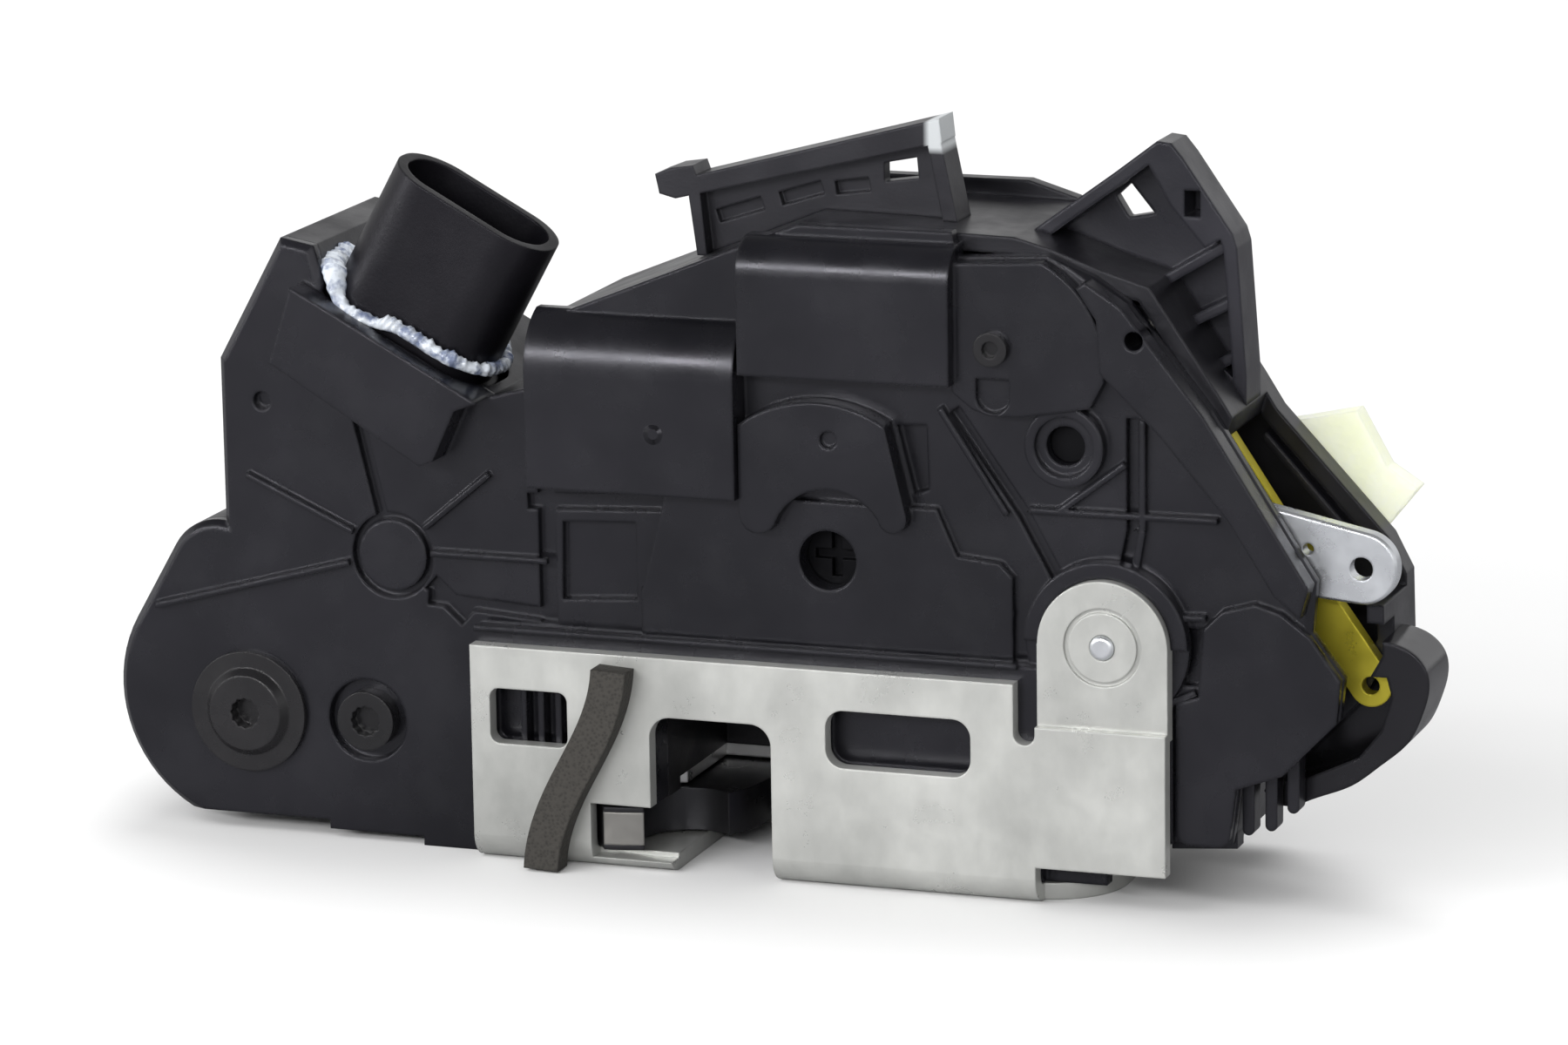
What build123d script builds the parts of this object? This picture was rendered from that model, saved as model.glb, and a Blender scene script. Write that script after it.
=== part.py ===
from build123d import *
import os
from math import atan2, cos, degrees, hypot, pi, radians, sin, tan

# A car door latch with its lock actuator, in millimetres.
# x = 0, y = 0 is the axis of the latched striker and z = 0 the face that bolts to the door.
# +X runs along the face plate, +Y into the door and +Z away from the mounting face.

# Walls and clearances shared by every piece
wall = 2.0                 # moulded wall
rib_w = 0.7                # width of a stiffening rib
rib_h = 0.9                # height of a rib above the cover's field
move_gap = 0.3             # moving piece to a piece it passes
pin_gap = 0.05             # radial gap of a pin or shaft in its bore
seat_gap = 0.1             # fixed piece to the pocket it sits in

# Face plate: a steel L, its front leg towards the striker and its bottom leg on the door
front_reach = 19.0         # latched striker axis to the front of the plate
plate_t = 2.0
bend_r = 1.2               # inside radius of the plate's bend
plate_left = -31.2
plate_right = 36.0
plate_top = 26.3
leg_depth = 48.0
leg_right = 46.0
leg_corner_r = 9.0
slot_half = 6.4            # half the width of the striker's slot
slot_end = 6.9             # end of the slot behind the striker axis
mouth_left = -8.7
mouth_top = 19.2
notch_left = -16.3         # notch where the catch's tip shows
notch_low = 1.4
notch_top = 8.1
tab_x = 46.4               # ear that is riveted to the cover
tab_half = 7.75
tab_z = 31.1
tab_low = 4.7
tab_joggle = 1.0
joggle_z = 21.4
ear_gap = 2.6              # slit between the ear and the rest of the leg
ear_gap_low = 19.2
window_x = -23.9           # small window on the left
window_z = 17.9
window_w = 9.8
window_h = 6.7
oval_x = 22.0              # long window on the right
oval_z = 18.2
oval_w = 17.7
oval_h = 6.9
rivet_r = 1.5
rivet_ring_r = 4.6
rivet_foot = 1.5

# Door bolts, M8, tapped into collars drawn up from the bottom leg
bolt_r = 3.4
collar_r = 5.2
collar_h = 4.0
bolt_left = (-25.5, 21.5)
bolt_back = (31.0, 21.5)
bolt_front = (29.0, -6.0)

# Catch: a steel fork in a plastic jacket, drawn latched with its mouth along +X
catch_arm = 16.5           # catch pivot to the striker axis
catch_open = 52.0          # swing from open to latched
catch_low = 2.4            # underside of the jacket
catch_h = 5.2
jacket = 0.6               # plastic over the steel
mouth_half = 5.75
claw_r = 18.5              # front arm that closes behind the striker
claw_angle = -33.0
heel_r = 16.0              # rear arm that the striker pushes
step_r = 19.4              # outer arc that the pawl rides on
step_angle = 62.0          # face that the pawl holds
step_end = 85.0
hub_r = 9.0
tip_w = 5.0                # bare steel at the end of the claw
pivot_r = 4.0
rivet_stub_r = 3.0

# Pawl
pawl_x = 14.0
pawl_behind = 13.0         # pawl pivot to the back of the latch case
pawl_hub_r = 6.0
pawl_pin_r = 3.2
pawl_arm_r = 2.6           # rounded end of the arm that the release lever pushes
pawl_peg_r = 1.2

# Depths behind the front of the face plate
field_d = 4.0              # outer face of the front cover
pad_d = 2.0                # raised pad behind the face plate
bulge_d = 0.0              # motor bulges
skin_back_d = 6.0          # parting plane of cover and rear housing
rear_d = 34.0              # back of the rear housing
latch_back_d = 46.0        # back of the latch case
pawl_y = latch_back_d - front_reach - pawl_behind

# Outline of the housing, x along the plate and z up
wall_left = -64.3
lobe_x = -62.0
lobe_z = 17.0
lobe_r = 16.8
knee_x = -65.3
knee_z = 31.6
knee_r = 6.6
foot_z = 2.2               # underside of the flange lobe
rim_z = 28.0               # top of the pad round the face plate
right_low = 8.0            # underside of the right lobe

# Big bore of the key driver and the lock gear round it
key_x = 12.7
key_z = 38.7
key_r = 3.5
sector_r = 19.0
sector_in_r = 8.8
lock_teeth = 36
lock_pitch_r = 14.2
lock_arc = 70.0            # toothed arc of the lock gear
worm_pitch_r = 2.6

# Motors
motor_r = 7.6
motor_l = 22.4
lock_motor_x = -21.2       # left end of the lock motor
motor_z = key_z + lock_pitch_r + worm_pitch_r
safe_motor_r = 5.4
safe_motor_x = 4.2
safe_pitch_r = 11.2
safe_teeth = 28
motor_shaft_r = 1.0
lock_tail_x = 23.0         # far ends of the worms' shafts
safe_tail_x = 50.2

# Second gear's boss
boss_x = 41.5
boss_z = 53.9
boss_r = 4.7
boss_hole_r = 2.3
safe_motor_z = boss_z + safe_pitch_r + worm_pitch_r
drive_d = bulge_d + wall + move_gap + motor_r      # depth of both motor axes and both gears
gear_w = 3.2
tooth = 0.7                # height of a tooth above its pitch circle
bearing_r = 2.6            # shaft of the key driver and the trunnions' bores

# Connector
plug_lean = 28.8           # lean of the plug towards +X, degrees
plug_w = 21.5
plug_depth = 12.0
plug_l = 16.8
plug_wall = 1.3
plug_x = -40.9             # middle of the plug where it leaves the glue trough
plug_z = 62.7
plug_d = 10.2
pin_w = 0.8
trough_gap = 1.5           # width of the glue trough round the plug
trough_deep = 4.0

# Release levers
outer_pivot_x = 58.0
outer_pivot_z = 43.6
outer_hub_r = 5.2
eye_x = 75.3
eye_z = 41.0
eye_r = 4.2
eye_hole_r = 1.35
lever_t = 2.0
outer_lever_d = 8.6        # back face of the outer lever
inner_pivot_x = 66.5
inner_pivot_z = 37.9
inner_lever_d = 14.2       # back face of the inner lever
inner_arm_top = (56.3, 53.2)
inner_arm_low = (75.0, 26.0)
inner_half = 2.5
lever_pin_r = 2.0

# Fasteners
flange_x = -61.6
flange_z = 15.1
flange_r = 7.4
sink_x = -46.3
sink_z = 15.0
sink_r = 5.0
shank_r = 2.4
small_screw_r = 2.0


def behind(depth):
    """Sketch plane facing the striker, at a depth behind the front of the face plate."""
    return Plane.XZ.offset(front_reach - depth)


def polar(radius, angle):
    """Point at a radius and an angle in degrees."""
    return (radius * cos(radians(angle)), radius * sin(radians(angle)))


def span(x0, x1, z0, z1):
    """Rectangle between two corners of a sketch."""
    with Locations(((x0 + x1) / 2, (z0 + z1) / 2)):
        Rectangle(x1 - x0, z1 - z0)


def shape(*points, mode=Mode.ADD):
    """Straight-sided face through the given corners."""
    Polygon(*points, align=None, mode=mode)


def stroke(start, end, width, mode=Mode.ADD):
    """Straight bar of the given width between two points of a sketch."""
    run, rise = end[0] - start[0], end[1] - start[1]
    with Locations(((start[0] + end[0]) / 2, (start[1] + end[1]) / 2)):
        Rectangle(hypot(run, rise), width, rotation=degrees(atan2(rise, run)), mode=mode)


def write(piece, name):
    """Names a finished piece and writes its STEP file."""
    piece.part.label = name
    export_step(piece.part, f"parts/{name}.step")


os.makedirs("parts", exist_ok=True)

# ---------------------------------------------------------------- face plate
with BuildPart() as face_plate:
    with BuildSketch(Plane.YZ.offset(plate_left)) as section:
        with Locations(((leg_depth / 2 - front_reach), plate_t / 2)):
            Rectangle(leg_depth, plate_t)
        with Locations((plate_t / 2 - front_reach, plate_top / 2)):
            Rectangle(plate_t, plate_top)
        corner = section.vertices().sort_by_distance((-front_reach, 0))[0]
        fillet(corner, bend_r + plate_t)
        inner = section.vertices().sort_by_distance((plate_t - front_reach, plate_t))[0]
        fillet(inner, bend_r)
    extrude(amount=plate_right + ear_gap - plate_left)
    # bottom leg, wider than the bend
    with BuildSketch(Plane.XY):
        with BuildLine():
            Line((plate_right, bend_r + plate_t - front_reach), (plate_right, leg_depth - front_reach))
            Line((plate_right, leg_depth - front_reach), (leg_right, leg_depth - front_reach))
            Line((leg_right, leg_depth - front_reach), (leg_right, leg_corner_r + bend_r + plate_t - front_reach))
            TangentArc((leg_right, leg_corner_r + bend_r + plate_t - front_reach),
                       (leg_right - leg_corner_r, bend_r + plate_t - front_reach), tangent=(0, -1))
            Line((leg_right - leg_corner_r, bend_r + plate_t - front_reach),
                 (plate_right, bend_r + plate_t - front_reach))
        make_face()
    extrude(amount=plate_t)
    # ear: its lower half flush with the leg, its upper half set back by the joggle
    with BuildSketch(behind(plate_t)):
        span(plate_right, tab_x + tab_half, tab_low, joggle_z)
    extrude(amount=plate_t)
    with BuildSketch(behind(plate_t + tab_joggle)):
        span(plate_right + ear_gap, tab_x + tab_half, joggle_z - tab_joggle, tab_z)
        with Locations((tab_x, tab_z)):
            Circle(tab_half)
    extrude(amount=plate_t)
    # slit beside the ear, the mouth, the catch's notch and the windows
    with BuildSketch(behind(plate_t + tab_joggle)):
        slit_r = ear_gap / 2
        with Locations((plate_right + slit_r, ear_gap_low + slit_r)):
            Circle(slit_r)
        span(plate_right, plate_right + ear_gap, ear_gap_low + slit_r, plate_top + tab_half)
        with Locations((window_x, window_z)):
            RectangleRounded(window_w, window_h, 1.2)
        with Locations((oval_x, oval_z)):
            RectangleRounded(oval_w, oval_h, 2.2)
        with Locations(((mouth_left + slot_half) / 2, (mouth_top + plate_t) / 2)):
            RectangleRounded(slot_half - mouth_left, mouth_top - plate_t, 2.6)
        span(mouth_left, slot_half, notch_low, mouth_top / 2)
        span(notch_left, slot_half, notch_low, notch_top)
    extrude(amount=plate_t + tab_joggle, mode=Mode.SUBTRACT)
    with BuildSketch(Plane.XY):
        span(-slot_half, slot_half, -front_reach, slot_end - slot_half)
        with Locations((0, slot_end - slot_half)):
            Circle(slot_half)
    extrude(amount=mouth_top / 2, mode=Mode.SUBTRACT)
    # tapped collars for the door bolts and the holes of the two pivot rivets
    with Locations(*[(x, y, plate_t) for x, y in (bolt_left, bolt_back, bolt_front)]):
        Cylinder(collar_r, collar_h, align=(Align.CENTER, Align.CENTER, Align.MIN))
    with Locations(*[(x, y, 0) for x, y in (bolt_left, bolt_back, bolt_front)]):
        Cylinder(bolt_r, plate_t + collar_h, align=(Align.CENTER, Align.CENTER, Align.MIN), mode=Mode.SUBTRACT)
    with Locations((-catch_arm, 0, 0), (pawl_x, pawl_y, 0)):
        Cylinder(rivet_stub_r, plate_t, align=(Align.CENTER, Align.CENTER, Align.MIN), mode=Mode.SUBTRACT)
    with BuildSketch(behind(plate_t + tab_joggle)):
        with Locations((tab_x, tab_z)):
            Circle(rivet_r)
    extrude(amount=plate_t + tab_joggle, mode=Mode.SUBTRACT)
    # shallow ring pressed round the ear's rivet
    with BuildSketch(behind(tab_joggle + 0.3)):
        with Locations((tab_x, tab_z)):
            Circle(rivet_ring_r)
            Circle(rivet_ring_r - 0.5, mode=Mode.SUBTRACT)
    extrude(amount=0.3, mode=Mode.SUBTRACT)
write(face_plate, "face_plate")


# ---------------------------------------------------------------- front cover
# Corners that the cover and the rear housing share
shoulder = (-56.0, 73.0)
neck = (-50.2, 66.6)
trough_end = (-34.5, 58.1)
valley = (-29.6, 55.4)
slope_low = (-23.6, 64.6)
slope_knee = (9.2, 77.8)
band_top = (48.7, 70.6)
band_mid = (58.4, 58.6)
band_low = (70.6, 39.6)
nose = (73.9, 28.6)
hip = (67.1, 17.0)
heel = (60.8, right_low)


def left_lobe():
    """Flange lobe at the lower left, cut off level at its foot."""
    with BuildSketch(mode=Mode.PRIVATE) as lobe:
        with Locations((lobe_x, lobe_z)):
            Circle(lobe_r)
        with Locations((knee_x, knee_z)):
            Circle(knee_r)
        make_hull()
        with Locations((lobe_x, foot_z)):
            Rectangle(4 * lobe_r, 4 * lobe_r, align=(Align.CENTER, Align.MIN), mode=Mode.INTERSECT)
    return lobe.sketch


def cover_outline():
    """Outline of the front cover, seen from the striker."""
    with BuildSketch(mode=Mode.PRIVATE) as outline:
        add(left_lobe())
        shape(
            (lobe_x, foot_z), (-51.6, foot_z), (-51.6, foot_z / 2), (-39.4, foot_z / 2), (-39.4, 0),
            (plate_left - seat_gap, 0), (plate_left - seat_gap, plate_t + seat_gap),
            (leg_right, plate_t + seat_gap), (leg_right, right_low), heel, (61.6, 15.0), hip, (73.4, 23.6),
            nose, (70.2, 33.6), band_low, band_mid, band_top, (44.5, 73.3), (39.1, 75.6), (28.3, 75.0), (27.8, 77.8),
            slope_knee, slope_low, (slope_low[0], 57.0), valley, trough_end, neck, (-51.8, 72.2), shoulder,
            (wall_left, 58.1), (wall_left, lobe_z),
        )
    return outline.sketch


def trough_shape():
    """Block that the glue trough is cut in, below the line the plug leaves it at."""
    shape(neck, (-52.9, 68.0), (-55.9, 58.8), (-37.0, 47.4), (-35.3, 48.1), (-32.4, 54.3), valley, trough_end)


plug_lean_rad = radians(plug_lean)
plug_plane = Plane(
    origin=(plug_x, plug_d - front_reach, plug_z),
    x_dir=(cos(plug_lean_rad), 0, -sin(plug_lean_rad)),
    z_dir=(sin(plug_lean_rad), 0, cos(plug_lean_rad)),
)


def plate_windows():
    """Mouth of the striker's channel with the room that the catch sweeps beside it."""
    with BuildSketch(mode=Mode.PRIVATE) as opening:
        span(mouth_left, slot_half, 0, mouth_top)
        span(notch_left - 5, slot_half, 0, notch_top)
    return opening.sketch


with BuildPart() as front_cover:
    # flat field, with a rounded rim all round
    with BuildSketch(behind(skin_back_d)):
        add(cover_outline())
    extrude(amount=skin_back_d - field_d)
    rim = front_cover.faces().sort_by(Axis.Y)[0].outer_wire().edges()
    chamfer([edge for edge in rim if edge.center().Z > right_low and abs(edge.center().X) > leg_right], 0.8)
    # pad that the face plate lies on, up to the rim above it
    with BuildSketch(behind(skin_back_d)) as pad:
        span(plate_left - seat_gap, plate_right + ear_gap, plate_t + seat_gap, rim_z)
    extrude(amount=skin_back_d - pad_d)
    with BuildSketch(behind(pad_d)):
        stroke((plate_left, rim_z), (plate_right, rim_z), rib_w)
    extrude(amount=rib_w)
    # relief for the inside of the plate's bend
    with BuildSketch(Plane.YZ.offset(plate_left - seat_gap)):
        bend_room = bend_r + seat_gap
        shape((plate_t - front_reach, plate_t), (plate_t + bend_room - front_reach, plate_t),
              (plate_t - front_reach, plate_t + bend_room))
    extrude(amount=plate_right + ear_gap + seat_gap - plate_left, mode=Mode.SUBTRACT)
    # seat of the ear, with the dark rim that follows the ear's round top
    with BuildSketch(behind(skin_back_d)):
        with Locations((tab_x, tab_z)):
            Circle(tab_half + wall)
        span(tab_x - tab_half, tab_x + tab_half, right_low, tab_z)
    extrude(amount=skin_back_d - plate_t - tab_joggle)
    with BuildSketch(behind(plate_t + tab_joggle)):
        with Locations((tab_x, tab_z)):
            Circle(tab_half + wall)
            Circle(tab_half + seat_gap, mode=Mode.SUBTRACT)
        with Locations((tab_x, tab_z - lobe_r)):
            Rectangle(4 * tab_half, 2 * lobe_r, mode=Mode.SUBTRACT)
    extrude(amount=rib_h)
    # raised field round the key bore
    with BuildSketch(behind(field_d)):
        shape((-10.5, rim_z), (-10.5, 33.0), (-7.2, 45.6), (26.0, 45.6), (28.4, 40.2), (33.6, 39.7),
              (35.1, 38.1), (35.1, rim_z))
    extrude(amount=1.0)
    # bulge over the lock gear: an arc round the key bore with two rounded feet
    with BuildSketch(behind(field_d)):
        with BuildLine():
            ThreePointArc((2.6, 54.6), (key_x, key_z + sector_r), (20.4, 55.4))
            Line((20.4, 55.4), (22.9, 45.0))
            ThreePointArc((22.9, 45.0), (21.4, 42.8), (19.6, 44.2))
            ThreePointArc((19.6, 44.2), (key_x, key_z + sector_in_r), (7.0, 43.4))
            ThreePointArc((7.0, 43.4), (4.6, 41.8), (2.6, 44.2))
            Line((2.6, 44.2), (2.6, 54.6))
        make_face()
    extrude(amount=field_d - 1.0)
    # bulges over the two motors, each rounded over at its top
    for left, right, low, flat, top, front in (
        (-23.5, 2.4, 45.7, 59.3, 66.4, bulge_d),
        (3.0, 28.6, 60.6, 72.4, 76.4, bulge_d),
    ):
        with BuildSketch(Plane.YZ.offset(left)):
            back, face, crown = skin_back_d - front_reach, front - front_reach, field_d + 0.6 - front_reach
            with BuildLine():
                Polyline((crown, top), (back, top), (back, low), (face, low), (face, flat))
                ThreePointArc((face, flat), (face + 1.2, (flat + top) / 2 + 0.8), (crown, top))
            make_face()
        extrude(amount=right - left)
    # gear chamber at the upper right, round the motor's output end
    with BuildSketch(behind(field_d)):
        with BuildLine():
            Polyline((28.3, 59.7), (28.3, 74.6), (39.1, 75.2))
            ThreePointArc((39.1, 75.2), (44.8, 69.8), (46.4, 61.8))
            Polyline((46.4, 61.8), (44.7, 58.6), (36.2, 57.1), (32.8, 57.1), (30.7, 57.8), (28.3, 59.7))
        make_face()
    extrude(amount=field_d - plate_t)
    # band along the right edge and the smooth lobe below it
    with BuildSketch(behind(field_d)):
        shape((43.4, 72.6), (45.8, 69.0), (46.2, 62.9), (53.1, 56.2), (61.3, 46.7), (66.6, 38.4),
              (69.6, 36.0), band_low, band_mid, band_top, (44.5, 73.3))
    extrude(amount=field_d - 1.2)
    with BuildSketch(behind(field_d)) as lower_lobe:
        shape((57.8, 33.6), (60.0, 35.8), (63.8, 36.9), (66.9, 36.0), (70.2, 33.6), nose, (73.4, 23.6), hip,
              (61.6, 15.0), heel, (54.6, right_low), (54.6, 24.6), (57.2, 25.6))
        fillet(lower_lobe.vertices().sort_by_distance((57.8, -front_reach, 33.6))[:2], 1.5)
    extrude(amount=field_d - 3.0)
    # boss over the second gear
    with BuildSketch(behind(field_d)):
        with Locations((boss_x, boss_z)):
            Circle(boss_r)
    extrude(amount=rib_h + rib_w)
    # stiffening ribs: straight lines between the features
    with BuildSketch(behind(field_d)):
        for start, end in (
            ((-10.5, 33.6), (35.2, 33.8)), ((-37.2, 36.2), (-22.4, 36.2)),
            ((37.1, 46.1), (59.4, 46.2)), ((2.6, 41.4), (2.6, rim_z)), ((-60.8, 44.3), (-47.2, 38.2)),
            ((-29.6, 46.2), (-38.0, 39.2)), ((-73.4, 27.4), (-47.8, 34.4)), ((26.4, 57.4), (34.4, 45.4)),
            ((50.6, 57.4), (50.6, 44.6)), ((50.6, 44.6), (49.6, 39.0)),
            ((40.7, 46.2), (48.5, 52.1)), ((28.6, 72.3), (37.8, 72.3)), ((53.9, 34.6), (58.0, 34.8)),
            ((-20.4, 45.8), (-8.6, 45.8)), ((53.4, 55.9), (56.6, 59.2)), ((56.8, 26.0), (53.9, 24.6)),
        ):
            stroke(start, end, rib_w)
    extrude(amount=rib_h)
    # grooves: those of the spider left of the latch, the slots beside the bulges and the dimples
    with BuildSketch(behind(field_d)):
        for start, end, width in (
            ((-46.6, 52.8), (-43.6, 40.0), 1.5), ((-37.6, 32.6), (-33.0, 28.4), 2.2),
            ((-22.6, 45.0), (-22.6, 28.6), 2.2), ((-25.0, 43.2), (-8.0, 44.0), 1.9),
            ((27.9, 57.2), (36.2, 45.5), 1.5), ((36.2, 45.5), (40.3, 38.1), 1.5),
            ((49.2, 57.4), (49.2, 44.3), 1.4), ((49.2, 44.3), (48.1, 39.1), 1.4),
            ((56.4, 33.4), (56.4, 26.6), 2.6), ((-38.0, 30.6), (-23.6, 29.6), 1.6),
        ):
            stroke(start, end, width)
        shape((-20.6, 41.0), (-11.4, 41.4), (-11.4, 32.2), (-20.8, 31.6))
        shape((21.0, 55.0), (24.6, 55.2), (24.8, 47.6), (23.0, 47.0))
        with Locations((-42.4, 35.5)):
            Circle(5.2)
            Circle(4.3, mode=Mode.SUBTRACT)
        with Locations((-58.8, 53.3)):
            Circle(1.1)
    extrude(amount=-rib_h * 1.2, mode=Mode.SUBTRACT)
    # step in the boss
    with BuildSketch(behind(field_d - rib_h - rib_w)):
        with Locations((boss_x, boss_z)):
            Circle(boss_r - 1.2)
    extrude(amount=-rib_h, mode=Mode.SUBTRACT)
    # slot below the small screw
    with BuildSketch(behind(plate_t)):
        stroke((33.2, 61.4), (33.2, 59.4), 2 * small_screw_r)
        with Locations((33.2, 59.4)):
            Circle(small_screw_r)
    extrude(amount=-rib_h, mode=Mode.SUBTRACT)
    # dimple in the arc
    with BuildSketch(behind(1.0)):
        with Locations((13.6, 53.4)):
            Circle(1.0)
    extrude(amount=-rib_w, mode=Mode.SUBTRACT)
    # recess with three upright ribs behind the small window, and a plain one behind the long window
    with BuildSketch(behind(pad_d)):
        with Locations((window_x, window_z)):
            RectangleRounded(window_w + 1, window_h + 1, 1.2)
        with Locations(*[(window_x + 2.2 * (step - 1) + 0.8, window_z) for step in range(3)]):
            Rectangle(rib_w, window_h + 1, mode=Mode.SUBTRACT)
        with Locations((oval_x, oval_z)):
            RectangleRounded(oval_w + 1, oval_h + 1, 2.2)
    extrude(amount=-wall, mode=Mode.SUBTRACT)
    # front wall of the glue trough round the plug
    with BuildSketch(behind(skin_back_d)):
        trough_shape()
    extrude(amount=skin_back_d - bulge_d)
    with BuildSketch(plug_plane.offset(wall)):
        RectangleRounded(plug_w + 2 * trough_gap, plug_depth + 2 * trough_gap, plug_depth / 2)
    extrude(amount=-trough_deep - wall, mode=Mode.SUBTRACT)
    # openings: the mouth, the key bore, the boss and the screws
    with BuildSketch(behind(skin_back_d)):
        add(plate_windows())
        with Locations((key_x, key_z)):
            Circle(key_r)
        with Locations((boss_x, boss_z)):
            Circle(boss_hole_r)
        with Locations((tab_x, tab_z)):
            Circle(rivet_r)
        with Locations((flange_x, flange_z), (sink_x, sink_z)):
            Circle(shank_r + seat_gap)
        with Locations((50.2, 66.9)):
            Circle(1.1)
        with Locations((33.2, 65.0)):
            Circle(1.2)
    extrude(amount=skin_back_d + 2, mode=Mode.SUBTRACT)
    # recess of the sunk screw
    with BuildSketch(behind(skin_back_d - 0.6)):
        with Locations((sink_x, sink_z)):
            Circle(sink_r)
    extrude(amount=skin_back_d, mode=Mode.SUBTRACT)
    # pockets behind the bulges, with room for the motors and the gears
    with BuildSketch(behind(skin_back_d)):
        span(-23.5 + wall, 2.4 - rib_w, 45.7 + wall, 63.4)
    extrude(amount=skin_back_d - bulge_d - wall, mode=Mode.SUBTRACT)
    with BuildSketch(behind(skin_back_d)):
        span(3.0 + rib_w, 28.6 - wall, 60.6 + rib_w, 73.6)
    extrude(amount=skin_back_d - bulge_d - wall, mode=Mode.SUBTRACT)
write(front_cover, "front_cover")

# ---------------------------------------------------------------- rear housing
lever_pass_d = 10.0        # front edge of the outer wall where the outer lever's eye passes
deck_d = 24.0              # back of the cable channel
channel_wall_h = 1.5       # height of the cable channel's outer wall over its floor
crest_z = 79.4             # rim at the back of the housing's top
fin_back_d = 8.6           # back of the fins below the right lobe


def rear_outline():
    """Outline of the rear housing: the cover's, widened on the right by the cable channel."""
    with BuildSketch(mode=Mode.PRIVATE) as outline:
        add(left_lobe())
        shape(
            (lobe_x, foot_z), (-51.6, foot_z), (-51.6, foot_z / 2), (-39.4, foot_z / 2), (-39.4, 0),
            (plate_left - seat_gap, 0), (plate_left - seat_gap, rim_z), (leg_right + seat_gap, rim_z),
            (leg_right + seat_gap, right_low), heel, (61.6, 15.0), hip, (73.4, 23.6), (77.2, 30.4),
            (77.0, 37.4), (74.8, 41.6), (61.6, 55.8), (59.2, 59.6), (50.6, 72.2), (44.5, 74.0), (39.1, 76.0),
            (34.6, 77.2), slope_knee, slope_low, (slope_low[0], 57.0), valley, trough_end, neck, (-51.8, 72.2),
            shoulder, (wall_left, 58.1), (wall_left, lobe_z),
        )
    return outline.sketch


def deep_outline():
    """Part of the rear housing left of the cable channel, which reaches further back."""
    with BuildSketch(mode=Mode.PRIVATE) as outline:
        add(rear_outline())
        shape((2 * wall_left, -right_low), (64.0, -right_low), (64.0, 15.0), (66.0, 30.0), (62.0, 44.0),
              (48.0, 66.0), (44.0, 2 * crest_z), (2 * wall_left, 2 * crest_z), mode=Mode.INTERSECT)
    return outline.sketch


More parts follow.
